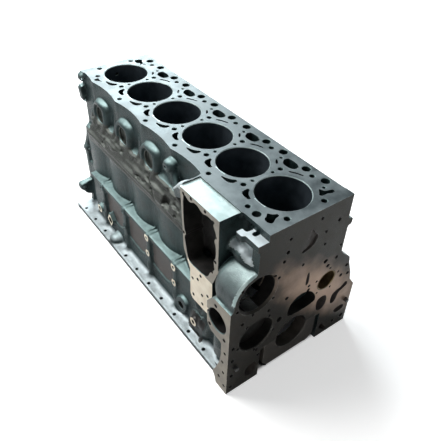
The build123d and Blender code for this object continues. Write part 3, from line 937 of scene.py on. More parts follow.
    def rod_side(self, cast: CastField) -> None:
        """Pushrod side: cam chest ridge, wall ribs and two mounting pads.

        Args:
            cast: The casting, changed in place.
        """
        s = self.s
        out = s.rod_deck_y
        cast.add(pipe([(-s.face_x, out + 2, s.cam_z), (s.face_x - 10, out + 2, s.cam_z)], 15), blend=12)
        cast.add(pipe([(-s.face_x, out + 1, 168), (s.face_x - 10, out + 1, 168)], 7), blend=8)
        for x in s.mains[1:-1]:
            slope = [(90, 178), (out, 178), (s.ledge_y, s.ledge_z), (90, s.ledge_z)]
            cast.add(prism(Axis.X, slope, x - 6, x + 6, 3), blend=6)
            cast.add(pipe([(x, out - 1, 176), (x, out - 1, s.deck_z - 18)], 6), blend=8)
        for x in s.bores:
            cast.cut(box(x - 38, x + 38, out - 5, out + 9, 196, 292, 4), blend=5)
        slope = [(90, 178), (out, 178), (s.skirt_y, s.ledge_z), (90, s.ledge_z)]
        cast.add(prism(Axis.X, slope, s.face_x - 62, s.face_x, 3), blend=6)
        for x in s.pad_xs:
            pad = softened([(x - 42, -48), (x + 42, -48), (x + 42, 34), (x - 42, 34)], 2)
            cast.add(prism(Axis.Y, pad, 110, s.skirt_y + s.pad_out + 2, 2), blend=5)

    def rear_flange(self, cast: CastField) -> None:
        """Rear face outline with lugs for the flywheel housing.

        Args:
            cast: The casting, changed in place.
        """
        s = self.s
        end = s.face_x + s.stock
        cooler = [(-86, 326), (-91, 321), (-97, 315), (-98, 304), (-84, 297), (-84, 291), (-99, 288),
                  (-103, 280), (-101, 262), (-94, 243), (-80, 239), (-78, 172), (-95, 157), (-111, 107),
                  (-107, 2), (-145, -5), (-146, -20), (-130, -42), (-114, -50), (-114, -76), (-159, -76),
                  (-159, -91)]
        rods = [(159, -91), (159, -76), (120, -76), (120, -50), (134, -42), (148, -5), (122, 2), (124, 107),
                (118, 157), (109, 172), (109, 240), (119, 250), (119, 286), (105, 300), (105, 326)]
        cast.add(prism(Axis.X, cooler + rods, -end, -s.face_x + 16, 3), blend=5)
        for y, z, r in ((-90, 308, 9), (-92, 254, 9), (-86, 166, 9), (-103, 104, 11), (-136, -14, 12),
                        (109, 262, 12), (112, 150, 11), (136, -20, 12)):
            cast.add(rod(Axis.X, y, z, r - 1.5, -end, -s.face_x + 19, 4), blend=7)

    def housing_outline(self) -> list[tuple[float, float]]:
        """Side outline of the cooler housing and the pad below it.

        Returns:
            Corners of the outline.
        """
        s = self.s
        f = s.housing_floor_z
        x0, x1 = s.housing_x0, s.housing_x1
        p0, p1 = x0 + 30, x1 - 18
        top = s.housing_top_z + s.stock
        return [(x0, top), (x1, top), (x1 + 1, f + 52), (x1 - 8, f + 24), (p1 + 2, f + 6), (p1 + 4, 60),
                (p1 - 8, 47), (p0 + 8, 45), (p0, 56), (p0, f - 16), (x0 + 8, f + 24)]

    def cooler_housing(self, cast: CastField) -> None:
        """Cooler housing with its open face, bolt bosses, lower pad and rear gusset.

        Args:
            cast: The casting, changed in place.
        """
        s = self.s
        cast.add(prism(Axis.Y, self.housing_outline(), -88, -s.housing_y - s.stock, 3), blend=9)
        top = s.housing_top_z + s.stock
        x0 = s.housing_x0
        gusset = [(x0 + 8, top), (x0 - 3, top), (x0 - 44, top - 38), (x0 - 22, top - 84), (x0 + 8, top - 100)]
        cast.add(prism(Axis.Y, gusset, -88, -s.housing_y + 9, 3), blend=8)
        under = [(x0 - 50, top - 62), (x0 - 4, top - 44), (x0 - 4, top - 92), (x0 - 50, top - 110)]
        cast.cut(prism(Axis.Y, under, -96, -s.housing_y + 2, 4), blend=6)
        brow = [(x0 + 6, -126, top - 17), (x0 - 16, -119, top - 27), (x0 - 38, -112, top - 42)]
        rear_leg = [(x0 + 34, -104, 54), (x0 + 34, -128, 36), (x0 + 40, -128, 10)]
        front_leg = [(x0 + 92, -104, 54), (x0 + 92, -126, 30), (x0 + 96, -124, -10)]
        cast.add(pipe(brow, [14, 14, 12]), pipe(rear_leg, [10, 9, 7]), pipe(front_leg, [9, 8, 6]), blend=8)

    def cavity_outline(self) -> list[tuple[float, float]]:
        """Opening of the cooler housing: a sloped lower corner and a wavy rim round the bolt bosses.

        Returns:
            Corners of the outline.
        """
        s = self.s
        top = s.housing_top_z - 9
        left = s.housing_x0 + 6
        right = s.housing_x1 - 9
        f = s.housing_floor_z
        upper_rim = ((3, -3), (12, -2), (20, -8), (30, -8), (38, -1), (52, 0), (62, -7), (72, -7), (80, -2))
        upper_right = ((-9, -4), (-8, -15), (0, -24), (1, -36), (-5, -45), (1, -54))
        lower_right = ((2, 82), (-5, 71), (-3, 60), (0, 50), (-8, 40), (-18, 26), (-20, 16), (-34, 4))
        lower_left = ((24, 0), (15, 12), (8, 50), (5, 60), (12, 68), (4, 80))
        parts = ((left, top, upper_rim), (right, top, upper_right), (right, f, lower_right),
                 (left, f, lower_left))
        return [(x + dx, z + dz) for x, z, rim in parts for dx, dz in rim]

    def pump_barrel(self, cast: CastField) -> None:
        """Water pump barrel with the rounded ridge above it and the recess under the deck edge.

        Args:
            cast: The casting, changed in place.
        """
        s = self.s
        r = s.pump_r + s.pump_wall
        cast.add(rod(Axis.X, s.pump_y, s.pump_z, r, s.face_x - 46, s.face_x + 0.6, 6), blend=8)
        cast.add(dome((s.face_x - 46, s.pump_y, s.pump_z), (40, r, r)), blend=3)
        cast.add(box(s.housing_x1 - 4, s.face_x + s.stock, -104, -90, s.pump_z - 20, 250, 4), blend=10)
        cast.cut(box(s.housing_x1 + 2, s.face_x - 38, -126, -85, 270, 309, 8), blend=8)
        cast.add(box(s.face_x - 22, s.face_x + s.stock, -114, -88, 222, s.deck_z - 26, 3), blend=5)
        cast.add(pipe([(306, -107, 253), (330, -111, 252), (354, -110, 246)], [15, 15, 10]), blend=8)

    def front_lug(self, cast: CastField) -> None:
        """Stepped lug under the front corner of the deck, whose top is later given painted light.

        Args:
            cast: The casting, changed in place.
        """
        s = self.s
        x1 = s.face_x + s.stock
        outline = [(x1, -90), (x1, -119.5), (x1 - 38, -119.5), (x1 - 41, -126), (x1 - 56, -126),
                   (x1 - 56, -109), (x1 - 44, -109), (x1 - 44, -90)]
        cast.add(prism(Axis.Z, outline, s.deck_z - 30, s.deck_z - 12, 2), blend=3)
        cast.cut(box(x1 - 37, x1 - 27, -108, -94, 298, 320, 2), blend=1)
        cast.cut(box(x1 - 58, x1 - 45, -112, -97, 296, 320, 2), blend=1)

    def corner_box(self, cast: CastField) -> None:
        """Corner box: a six-sided flange round the port, a strip down to the rail, and a scooped panel.

        Args:
            cast: The casting, changed in place.
        """
        s = self.s
        x0 = s.corner_x0
        x1 = s.face_x + s.stock
        low = s.rail_z - s.stock
        flange = [(x0 + 1, 142), (x0 + 17, 163), (x0 + 26, 168), (x1, 168), (x1, 60), (x0 + 14, 68),
                  (x0 + 2, 84)]
        cast.add(prism(Axis.Y, flange, -90, -s.corner_y - s.stock, 3), blend=5)
        strip = [(x1, 90), (x1, low), (x0 + 38, low), (x0 + 32, -68), (x0 + 24, -58), (x0 + 33, -42),
                 (x0 + 46, -4), (x0 + 52, 30), (x0 + 50, 72)]
        cast.add(prism(Axis.Y, strip, -90, -s.corner_y - s.stock, 3), blend=3)
        cast.add(box(x0 - 8, x1, -138, -100, s.rail_z, 80, 10), blend=8)
        belly = [(x0 + 24, -136, 56), (x0 + 24, -136, 20), (x0 + 14, -136, -22)]
        cast.add(pipe(belly, [24, 26, 20]), blend=16)
        self.front_lug(cast)

    def front_flange(self, cast: CastField) -> None:
        """Front face outline, with the wing that carries the gear housing.

        Args:
            cast: The casting, changed in place.
        """
        s = self.s
        w = s.wing_y
        d = s.rod_deck_y
        top, low = s.deck_z + s.stock, s.rail_z - s.stock
        outline = [(-s.cooler_front_y, top), (-s.cooler_front_y, 236), (-150, 200), (-s.corner_y, 160),
                   (-s.corner_y, low), (w, low), (w, 38), (w - 18, 63), (w - 23, 88), (w - 36, 123),
                   (w - 40, 143), (w - 65, 166), (d + 5, 178), (d + 5, 243), (d + 15, 247), (d + 15, 259),
                   (d, 266), (d, top)]
        cast.add(prism(Axis.X, outline, s.face_x - 22, s.face_x + s.stock, 3), blend=6)

    def side_fittings(self, cast: CastField) -> None:
        """Small cast fittings low on the cooler side skirt.

        Args:
            cast: The casting, changed in place.
        """
        s = self.s
        out = -s.skirt_y
        cast.add(rod(Axis.Y, -262, -28, 13, out + 8, out - 12, 3), blend=6)
        diamond = [(-207, -8), (-190, -32), (-203, -56), (-222, -36)]
        cast.add(prism(Axis.Y, diamond, out + 8, out - 9, 2), blend=5)
        cast.add(dome((-168, out - 8, -70), (20, 22, 14)), blend=8)
        pad = softened([(118, -70), (142, -14), (168, -14), (178, -30), (160, -74)], 2)
        cast.add(prism(Axis.Y, pad, out + 8, out - 9, 3), blend=6)
        cast.add(dome((212, out, -50), (30, 12, 34)), blend=8)
        cast.add(dome((196, out - 4, -60), (12, 10, 14)), dome((232, out - 4, -30), (11, 9, 13)), blend=6)
        cast.add(rod(Axis.Y, 212, -38, 13, out + 8, out - 16, 3), blend=4)
        cast.add(pipe([(236, out - 2, -62), (258, out - 3, -40), (262, out, -8)], [9, 10, 7]), blend=8)

    def cores(self, cast: CastField) -> None:
        """Sand cores: crankcase bays and the cooler cavity, with a short passage behind the water pump bore;
        the water jacket is cut among the machining cutters.

        Args:
            cast: The casting, changed in place.
        """
        s = self.s
        top = s.jacket_floor_z - 8
        bay_half = (s.pitch - s.bulkhead) / 2
        inner = s.bulge_r - 8
        barrel = s.bore_r + s.barrel_wall
        for x in s.bores:
            y = s.skirt_y - 8
            reach = math.asin(bay_half / inner)
            a = np.linspace(-reach, reach, 13)
            arc = [(x + inner * math.sin(t), inner * math.cos(t)) for t in a]
            plan = arc + [(u, -v) for u, v in arc[::-1]]
            bay = cast.alike()
            bay.add(prism(Axis.Z, plan, 40, top, 8), blend=1)
            x0 = max(x - bay_half, s.skirt_rear_x + 8)
            bay.add(box(x0, x + bay_half, -y, y, s.rail_z - 20, s.ledge_z - 10, 8), blend=8)
            if x == s.bores[-1]:
                yr = s.rear_waist_y - 8
                bay.add(box(x - bay_half, x0 + 12, -yr, yr, s.rail_z - 20, s.ledge_z - 10, 8), blend=8)
            bay.cut(rod(Axis.Z, x, 0, barrel, s.bore_end_z - 2, top + 20, 2), blend=4)
            bay.cut(box(x - 46.5, x + 33.5, 72, 130, 134, top + 20, 3), blend=4)
            cast.values[:] = np.maximum(cast.values, -bay.values)
        cast.cut(prism(Axis.Y, softened(self.cavity_outline(), 1), -99, -s.housing_y - 12, 3), blend=2)
        cast.cut(rod(Axis.X, s.pump_y - 8, s.pump_z, 22, s.housing_x1 + 4, s.face_x - 60, 2), blend=2)


@dataclass(frozen=True)
class BoltCircle:
    """Threaded holes spaced evenly round a bore in the front face."""

    y: float
    z: float
    r: float
    count: int
    start: float
    hole_r: float = 3.2
    depth: float = 16.0
    chamfer: float = 0.6

    @property
    def places(self) -> list[tuple[float, float]]:
        """Centres of the holes that the front face has metal for.

        Returns:
            Places across the face.
        """
        turns = [self.start + TURN * k / self.count for k in range(self.count)]
        spots = [(self.y + self.r * math.cos(a), self.z + self.r * math.sin(a)) for a in turns]
        return [(y, z) for y, z in spots if z < 228]


@dataclass
class BlockMachining:
    """Every cut that the machine shop makes in the casting."""

    s: EngineSizes
    over: float = 20.0
    ends: tuple[float, float] = (-400.0, 400.0)
    sides: tuple[float, float] = (-200.0, 210.0)
    heights: tuple[float, float] = (-110.0, 345.0)

    def cutters(self) -> list[bpy.types.Object]:
        """All cutters, in groups whose shells keep clear of each other."""
        return [self.water_jacket(), self.level_faces(), self.end_faces(), self.side_faces(),
                self.deck_holes(), self.long_bores(), self.crank_tunnel(), self.end_holes(),
                self.side_holes()]

    def water_jacket(self) -> bpy.types.Object:
        """Water jacket core: one ring round each barrel, joined to its neighbours.

        The outline is, at each place along the engine, the farthest reach of the nearest circle.

        Returns:
            The cutter.
        """
        s = self.s
        barrel = s.bore_r + s.barrel_wall
        r = barrel + s.jacket_gap
        meet = math.acos(s.pitch / 2 / r)
        side = []
        for x in s.bores:
            a0 = 0.0 if x == s.bores[0] else meet
            a1 = math.pi if x == s.bores[-1] else math.pi - meet
            turn = np.linspace(a0, a1, 22)[: None if x == s.bores[-1] else -1]
            side += [(x + r * math.cos(t), r * math.sin(t)) for t in turn]
        outline = side + [(u, -v) for u, v in side[-2:0:-1]]
        jacket = Shell()
        jacket.prism(Axis.Z, outline, s.jacket_floor_z, s.deck_z - s.deck_plate)
        barrels = Shell()
        for x in s.bores:
            barrels.lathe(Axis.Z, x, 0, [(0, s.jacket_floor_z - 9), (barrel, s.jacket_floor_z - 9),
                                         (barrel, s.deck_z), (0, s.deck_z)], 48)
        core = jacket.build("water_jacket", (Axis.Z,), 40)
        machined(core, [barrels.build("barrels")])
        return core

    def level_faces(self) -> bpy.types.Object:
        """Mills the deck and the pan rail face.

        Returns:
            The cutter.
        """
        s = self.s
        shell = Shell()
        shell.box(*self.ends, *self.sides, s.deck_z, s.deck_z + self.over)
        shell.box(*self.ends, *self.sides, s.rail_z - self.over, s.rail_z)
        return shell.build("level_faces", (Axis.X, Axis.Y))

    def end_faces(self) -> bpy.types.Object:
        """Mills the front and rear faces.

        Returns:
            The cutter.
        """
        x = self.s.face_x
        shell = Shell()
        for side in (-1, 1):
            shell.box(side * x, side * (x + self.over), *self.sides, *self.heights)
        return shell.build("end_faces", (Axis.Y, Axis.Z))

    def side_faces(self) -> bpy.types.Object:
        """Mills the cooler flange and the corner flange.

        Returns:
            The cutter.
        """
        s = self.s
        shell = Shell()
        shell.box(s.housing_x0 - 8, s.corner_x0 - 1, -s.housing_y - 8, -s.housing_y, 30, 335)
        shell.box(s.corner_x0 - 6, s.face_x + 8, -s.corner_y - 8, -s.corner_y, -100, 180)
        for x in s.pad_xs:
            shell.box(x - 50, x + 50, s.skirt_y + s.pad_out, s.skirt_y + 20, -60, 46)
        for x, z, out, half in self.spot_faces():
            y = -s.skirt_y - out
            shell.box(x - half, x + half, y - 9, y, z - half, z + half)
        return shell.build("side_faces", (Axis.X, Axis.Z))

    def spot_faces(self) -> list[tuple[float, float, float, float]]:
        """Place, height and half width of each spot milled flat on the cooler side.

        Returns:
            A row for each spot.
        """
        spots = [(-262, -28, 11.0, 15), (-206, -33, 8.0, 19), (212, -38, 15.0, 14)]
        spots += [(x - 1, z, 6.5, 10.5) for x in self.s.mains[2:4] for z in self.s.rib_bosses]
        return spots

    def deck_holes(self) -> bpy.types.Object:
        """Cylinder bores, head bolt holes, pushrod holes and coolant ports.

        Returns:
            The cutter.
        """
        s = self.s
        z = s.deck_z
        shell = Shell()
        drain = [(-19, 84), (5, 85), (17, 79), (17, 67), (8, 61), (-11, 61), (-21, 72)]
        ahead = [(14, -63), (19, -66), (39, -66), (46, -59), (47, -48), (41, -47), (36, -53), (28, -58)]
        behind = [(-46, -46), (-45, -59), (-38, -66), (-20, -67), (-17, -60), (-27, -58), (-36, -52),
                  (-39, -46)]
        slot = [(-45, 53), (-43, 57), (-32, 64), (-18, 69), (-17, 65), (-30, 60), (-41, 52)]
        slit = [(29, 60), (33, 62), (43, 55), (43, 50), (38, 52)]
        lip = s.bore_r + 1.2
        end = s.bore_end_z - 12
        bore = [(0, z + CLEAR), (lip, z + CLEAR), (lip, z), (s.bore_r, z - 1.6), (s.bore_r, end), (0, end)]
        beside_bore = ((-32, 88, 9.2, 190, 0.6, 28), (18, 90.5, 9.2, 190, 0.6, 28), (-8, 80.5, 5.4, 60),
                       (-5, -78.5, 5.4, 60), (31, 73, 3.4, 20))
        in_gap = ((-45, 5.6, 60), (46, 5.6, 60), (26.5, 3.6, 24), (-23.5, 3.6, 24))
        for x in s.bores:
            shell.lathe(Axis.Z, x, 0, bore, 96)
            for dx, *hole in beside_bore:
                shell.drill(Axis.Z, 1, z, x + dx, *hole)
            self.port(shell, slot, x)
            if x != s.bores[-1]:
                gap = x - s.pitch / 2
                self.port(shell, drain, gap, 120)
                for hole in in_gap:
                    shell.drill(Axis.Z, 1, z, gap, *hole)
                self.port(shell, behind, x)
            if x != s.bores[0]:
                self.port(shell, ahead, x)
                self.port(shell, slit, x)
        top = z + CLEAR
        front_y = -s.cooler_front_y
        shell.box(s.housing_x0 - 1.5, s.housing_x1 + 1.5, -160, front_y - 1.5, s.housing_top_z, top)
        shell.box(s.face_x - 56, s.face_x + 8, -140, front_y - 0.6, z - s.corner_step, top)
        self.front_deck_ports(shell)
        self.port(shell, [(-61, 58), (-53, 75), (-40, 69), (-22, 62), (-40, 57), (-48, 51)], s.bores[-1])
        shell.drill(Axis.Z, 1, z, -323, -67, 5.6, 30)
        shell.drill(Axis.Z, 1, z, -304, -77, 4.2, 30)
        for side in (-1, 1):
            for y in (-44, 45.5):
                shell.drill(Axis.Z, 1, z, side * s.pitch * 3, y, 6, 60)
        return shell.build("deck_holes", (Axis.Z,), 40)

    def port(self, shell: Shell, outline: Outline, x: float, depth: float = 19.0) -> None:
        """Adds a cored port through the deck plate, placed from a bore centre or a gap."""
        z = self.s.deck_z
        shell.prism(Axis.Z, softened([(x + u, v) for u, v in outline], 2, 0.82), z - depth, z + CLEAR)

    def front_deck_ports(self, shell: Shell) -> None:
        """Special ports at the front end of the deck.

        Args:
            shell: The shells that the ports join.
        """
        s = self.s
        lobed = [(29, -63), (38, -57), (41, -49), (47, -49), (49, -60), (56, -72), (51, -79), (39, -78),
                 (35, -69)]
        branched = [(28, 62), (36, 56), (43, 49), (48, 52), (48, 65), (52, 73), (52, 82), (44, 83), (42, 72),
                    (38, 66)]
        self.port(shell, lobed, s.bores[0])
        self.port(shell, branched, s.bores[0])
        shell.drill(Axis.Z, 1, s.deck_z, s.bores[0] + 20.5, -79, 8.4, 30)

    def long_bores(self) -> bpy.types.Object:
        """Cap slot, camshaft tunnel, pump bores, corner port and core plug seats.

        Returns:
            The cutter.
        """
        s = self.s
        shell = Shell()
        x = s.face_x
        low = s.rail_z - 5
        slot = [(-s.slot_y, low), (-s.slot_y, 0), (-s.cap_half, 0), (-s.cap_half, s.register_z),
                (s.cap_half, s.register_z), (s.cap_half, 0), (s.slot_y, 0), (s.slot_y, low)]
        shell.prism(Axis.X, slot, -x - 5, x + 5)
        r, lip = s.cam_r, s.cam_r + 1.2
        shell.lathe(Axis.X, s.cam_y, s.cam_z,
                    [(0, -x - 5), (r, -x - 5), (r, x - 1.2), (lip, x), (lip, x + 5), (0, x + 5)], 48)
        r, lip, step = s.pump_r, s.pump_r + 4, s.pump_r - 3
        shell.lathe(Axis.X, s.pump_y, s.pump_z,
                    [(0, x + CLEAR), (lip, x + CLEAR), (lip, x), (r, x - 5), (r, x - 34), (step, x - 35),
                     (step, x - 62), (r - 7, x - 66), (0, x - 66)], 72)
        y, r, lip = -s.corner_y, s.port_r, s.port_r + 1.5
        shell.lathe(Axis.Y, s.port_x, s.port_z,
                    [(0, y - CLEAR), (lip, y - CLEAR), (lip, y), (r, y + 1.5), (r, y + 44), (0, y + 44)], 56)
        r, lip = s.plug_r, s.plug_r + 1
        for u in s.plugs:
            shell.lathe(Axis.Y, u, s.plug_z,
                        [(0, -112), (lip, -112), (lip, -95), (r, -93.5), (r, -58), (0, -58)], 48)
        return shell.build("long_bores", (Axis.X,))

    def crank_tunnel(self) -> bpy.types.Object:
        """Crankshaft tunnel, oil pump bore and the arch recess above the tunnel.

        Returns:
            The cutter.
        """
        s = self.s
        x = s.face_x
        shell = Shell()
        shell.lathe(Axis.X, 0, 0, [(0, -x - 5), (s.crank_r, -x - 5), (s.crank_r, x + 5), (0, x + 5)], 72)
        r, lip = s.oil_r, s.oil_r + 2
        shell.lathe(Axis.X, s.oil_y, s.oil_z,
                    [(0, x + CLEAR), (lip, x + CLEAR), (lip, x), (r, x - 2), (r, x - 24), (0, x - 24)], 64)
        arch = softened([(-20, 56), (57, 56), (58, 74), (48, 92), (34, 106), (14, 112), (-4, 108), (-16, 96),
                         (-22, 78)])
        shell.prism(Axis.X, arch, x - 24, x + CLEAR)
        return shell.build("crank_tunnel", (Axis.X,))

    def end_holes(self) -> bpy.types.Object:
        """Pockets, slots and threaded holes in the front and rear faces.

        Returns:
            The cutter.
        """
        s = self.s
        x = s.face_x
        shell = Shell()
        for outline, depth in self.front_pockets():
            shell.prism(Axis.X, softened(outline), x - depth, x + CLEAR)
        for y, z, r in self.front_holes():
            shell.drill(Axis.X, 1, x, y, z, r, 18)
        for circle in self.bolt_circles():
            for y, z in circle.places:
                shell.drill(Axis.X, 1, x, y, z, circle.hole_r, circle.depth, circle.chamfer, 16)
        rear = ((-92, 308), (-92, 250), (-86, 166), (-103, 104), (-136, -14), (109, 262), (112, 150),
                (-60, 250), (60, 250), (-60, 60), (60, 60), (0, 300))
        for y, z in rear:
            shell.drill(Axis.X, -1, -x, y, z, 5, 24)
        return shell.build("end_holes")

    def bolt_circles(self) -> tuple[BoltCircle, ...]:
        """Circles of threaded holes round the water pump, oil pump and camshaft bores.

        Returns:
            The circles.
        """
        s = self.s
        return (BoltCircle(s.pump_y, s.pump_z, 50.5, 6, 0.35), BoltCircle(s.oil_y, s.oil_z, 47.5, 5, 0.9),
                BoltCircle(s.cam_y, s.cam_z, 34, 5, 0.2, 2.6, 14, 0.5))

    def front_pockets(self) -> tuple[tuple[Outline, float], ...]:
        """Outline and depth of each cored pocket and slot in the front face."""
        return (
            ([(64, 54), (78, 60), (92, 56), (98, 42), (95, 22), (84, 12), (68, 18)], 20),
            ([(112, 42), (124, 50), (140, 52), (148, 62), (156, 62), (160, 48), (146, 42), (134, 36),
              (132, 20), (124, 8), (112, 14)], 20),
            ([(134, -24), (150, -18), (166, -22), (170, -36), (150, -40), (136, -34)], 18),
            ([(-124, -36), (-104, -30), (-92, -34), (-89, -52), (-98, -72), (-122, -68)], 18),
            ([(92, -42), (104, -50), (122, -76), (112, -80), (96, -64)], 12),
            ([(18, 166), (24, 168), (27, 136), (21, 128), (17, 134)], 8),
            ([(6, 286), (12, 283), (20, 268), (26, 266), (27, 252), (16, 238), (-8, 232), (-11, 240),
              (4, 246), (8, 256), (2, 264), (4, 276)], 5),
            ([(-80, 2), (-72, 4), (-74, -4), (-80, -8)], 4),
        )

    def front_holes(self) -> tuple[Point, ...]:
        """Place and radius of each small hole in the front face."""
        return ((-46, 257, 4), (-52, 237, 3.5), (-44, 288, 3), (30, 300, 3), (80, 274, 4), (48, 260, 3),
                (52, 226, 3), (66, 172, 5), (76, 154, 4), (98, 166, 4), (103, 198, 3), (140, 120, 4),
                (30, 110, 4), (-42, 68, 7), (-75, 118, 4), (-30, 124, 4), (-140, 122, 4), (168, -7, 5.2),
                (168, -64, 6), (-150, -7, 5.2), (150, 90, 4), (-158, 60, 4), (-158, 20, 4), (-158, -30, 4),
                (-158, -70, 4), (-96, 10, 4), (-90, -12, 3.4), (128, 96, 4), (30, 122.5, 3), (140, -66, 4),
                (0, 200, 3), (-70, 210, 3))

    def rim_holes(self) -> tuple[Point, ...]:
        """Place and radius of each threaded hole in the rim and the pad of the cooler housing.

        Returns:
            A row for each hole.
        """
        places = ((289, 277), (290, 216), (184, 213), (186, 309), (211, 313), (256, 313), (281, 306),
                  (281, 183), (260, 158), (243, 138), (233, 120), (214, 108), (249, 86), (268, 101),
                  (217, 61), (250, 61))
        return tuple((x, z, 3.4) for x, z in places)

    def corner_holes(self) -> tuple[Point, ...]:
        """Place and radius of each threaded hole in the flange and the strip of the corner box.

        Returns:
            A row for each hole.
        """
        flange = ((332, 152), (314, 83), (362, 80), (306, 118))
        strip = ((366, 42), (360, 8), (364, -24), (350, -52), (330, -74), (368, -66))
        return tuple((x, z, 4) for x, z in flange) + tuple((x, z, 3.2) for x, z in strip)

    def skirt_holes(self) -> tuple[tuple[float, float, float, float], ...]:
        """Place, radius and height of each hole in the fittings low on the cooler side."""
        return (-262, -28, 5.5, 11), (-205, -33, 8.5, 8), (152, -42, 10.5, 9), (212, -38, 5, 15)

    def side_holes(self) -> bpy.types.Object:
        """Threaded holes in the cooler side and the pushrod side, and the pan rail holes.

        Returns:
            The cutter.
        """
        s = self.s
        shell = Shell()
        for x, z, r in self.rim_holes():
            shell.drill(Axis.Y, -1, -s.housing_y, x, z, r, 20, 0.6, 16)
        for x, z, r in self.corner_holes():
            shell.drill(Axis.Y, -1, -s.corner_y, x, z, r, 20, 0.6, 16)
        for x in s.mains[1:-1]:
            for z in s.rib_bosses:
                for side in (-1, 1):
                    shell.drill(Axis.Y, side, side * (s.skirt_y + 6.5), x - 1, z, 3.6, 16, 0.6, 16)
        shell.drill(Axis.Y, -1, -110, *s.loose_boss, 4, 16, 0.8, 20)
        for x, z, r, out in self.skirt_holes():
            shell.drill(Axis.Y, -1, -s.skirt_y - out, x, z, r, 16, 0.8, 28)
        low, high = s.rail_z - CLEAR, s.rail_top_z + 8
        for k in range(12):
            for side in (-1, 1):
                shell.lathe(Axis.Z, 264 - 60.5 * k, side * (s.rail_y - 10),
                            [(0, low), (4.5, low), (4.5, high), (0, high)], 20)
        for x in s.pad_xs:
            for dx in (-28, 28):
                for z in (-36, 20):
                    shell.drill(Axis.Y, 1, s.skirt_y + s.pad_out, x + dx, z, 5, 18, 0.8, 20)
        return shell.build("side_holes")


class NodeBench:
    """Short ways to lay out shader nodes in one tree."""

    def __init__(self, tree: bpy.types.NodeTree) -> None:
        """Works on the given tree."""
        self.tree = tree

    def add(self, kind: str, **settings: object) -> bpy.types.Node:
        """Adds a node; settings name its properties or, after 'in_', its inputs by number.

        Args:
            kind: Type of the node.
            settings: Properties by name, or inputs by number after 'in_'.

        Returns:
            The node.
        """
        node = self.tree.nodes.new(kind)
        for key, value in settings.items():
            if key.startswith("in_"):
                node.inputs[int(key[3:])].default_value = value
            else:
                setattr(node, key, value)
        return node

    def group(self, tree: bpy.types.NodeTree, **inputs: float) -> bpy.types.Node:
        """Adds a node group and sets its named inputs.

        Args:
            tree: The node group.
            inputs: Values by the names of the inputs.

        Returns:
            The node.
        """
        node = self.add("ShaderNodeGroup", node_tree=tree)
        for name, value in inputs.items():
            node.inputs[name].default_value = value
        return node

    def link(self, out: bpy.types.NodeSocket, into: bpy.types.NodeSocket) -> None:
        """Joins an output to an input."""
        self.tree.links.new(out, into)

    def math(self, operation: str, a: object, b: object = 0.0) -> bpy.types.NodeSocket:
        """Adds a Math node fed by sockets or numbers.

        Args:
            operation: What the node works out.
            a: First value.
            b: Second value.

        Returns:
            The result.
        """
        node = self.add("ShaderNodeMath", operation=operation)
        for socket, value in zip(node.inputs, (a, b)):
            if isinstance(value, bpy.types.NodeSocket):
                self.link(value, socket)
            else:
                socket.default_value = value
        return node.outputs[0]

    def noise(self, vector: bpy.types.NodeSocket, scale: float) -> bpy.types.NodeSocket:
        """Adds a Noise Texture and gives its value.

        Args:
            vector: Where the noise is read.
            scale: How fine the noise is.

        Returns:
            The value.
        """
        node = self.add("ShaderNodeTexNoise", in_2=scale, in_3=4.0, in_4=0.55)
        self.link(vector, node.inputs["Vector"])
        return node.outputs[0]

    def span(self, value: bpy.types.NodeSocket, a: float, b: float, c: float = 0.0,
             d: float = 1.0) -> bpy.types.NodeSocket:
        """Maps a to c and b to d, held between them.

        Args:
            value: The value that is mapped.
            a: Value that becomes c.
            b: Value that becomes d.
            c: Least result.
            d: Greatest result.

        Returns:
            The mapped value.
        """
        node = self.add("ShaderNodeMapRange", interpolation_type="SMOOTHSTEP")
        self.link(value, node.inputs[0])
        for socket, number in zip(node.inputs[1:5], (a, b, c, d)):
            socket.default_value = number
        return node.outputs[0]

    def mix(self, share: bpy.types.NodeSocket, a: object, b: object) -> bpy.types.NodeSocket:
        """Mixes two colours, each a socket or three numbers.

        Args:
            share: How much of the second colour shows.
            a: First colour.
            b: Second colour.

        Returns:
            The mixed colour.
        """
        node = self.add("ShaderNodeMix", data_type="RGBA")
        self.link(share, node.inputs[0])
        for socket, value in ((node.inputs[6], a), (node.inputs[7], b)):
            if isinstance(value, bpy.types.NodeSocket):
                self.link(value, socket)
            else:
                socket.default_value = (*value, 1.0)
        return node.outputs[2]


def group_tree(name: str, inputs: dict[str, float], outputs: Sequence[str]) -> bpy.types.NodeTree:
    """Starts a node group with number inputs and named number outputs.

    Args:
        name: Name of the group.
        inputs: Starting value of each input.
        outputs: Names of the outputs.

    Returns:
        The group.
    """
    tree = bpy.data.node_groups.new(name, "ShaderNodeTree")
    for key, value in inputs.items():
        socket = tree.interface.new_socket(key, in_out="INPUT", socket_type="NodeSocketFloat")
        socket.default_value = value
    for key in outputs:
        tree.interface.new_socket(key, in_out="OUTPUT", socket_type="NodeSocketFloat")
    return tree


def grain_group() -> bpy.types.NodeTree:
    """Sand grain of a casting: a height for bump and a slow mottle for colour.

    Returns:
        The group.
    """
    tree = group_tree("sand_grain", {"Grain": 420.0, "Mottle": 34.0}, ("Height", "Shade"))
    bench = NodeBench(tree)
    inside = bench.add("NodeGroupInput")
    out = bench.add("NodeGroupOutput")
    place = bench.add("ShaderNodeTexCoord").outputs["Object"]
    fine = bench.add("ShaderNodeTexNoise", in_3=3.0, in_4=0.6)
    slow = bench.add("ShaderNodeTexNoise", in_3=5.0, in_4=0.6)
    for node, name in ((fine, "Grain"), (slow, "Mottle")):
        bench.link(place, node.inputs["Vector"])
        bench.link(inside.outputs[name], node.inputs["Scale"])
    pits = bench.span(fine.outputs[0], 0.3, 0.7)
    lumps = bench.math("MULTIPLY", slow.outputs[0], 0.8)
    bench.link(bench.math("ADD", pits, lumps), out.inputs["Height"])
    bench.link(bench.span(slow.outputs[0], 0.3, 0.7), out.inputs["Shade"])
    return tree


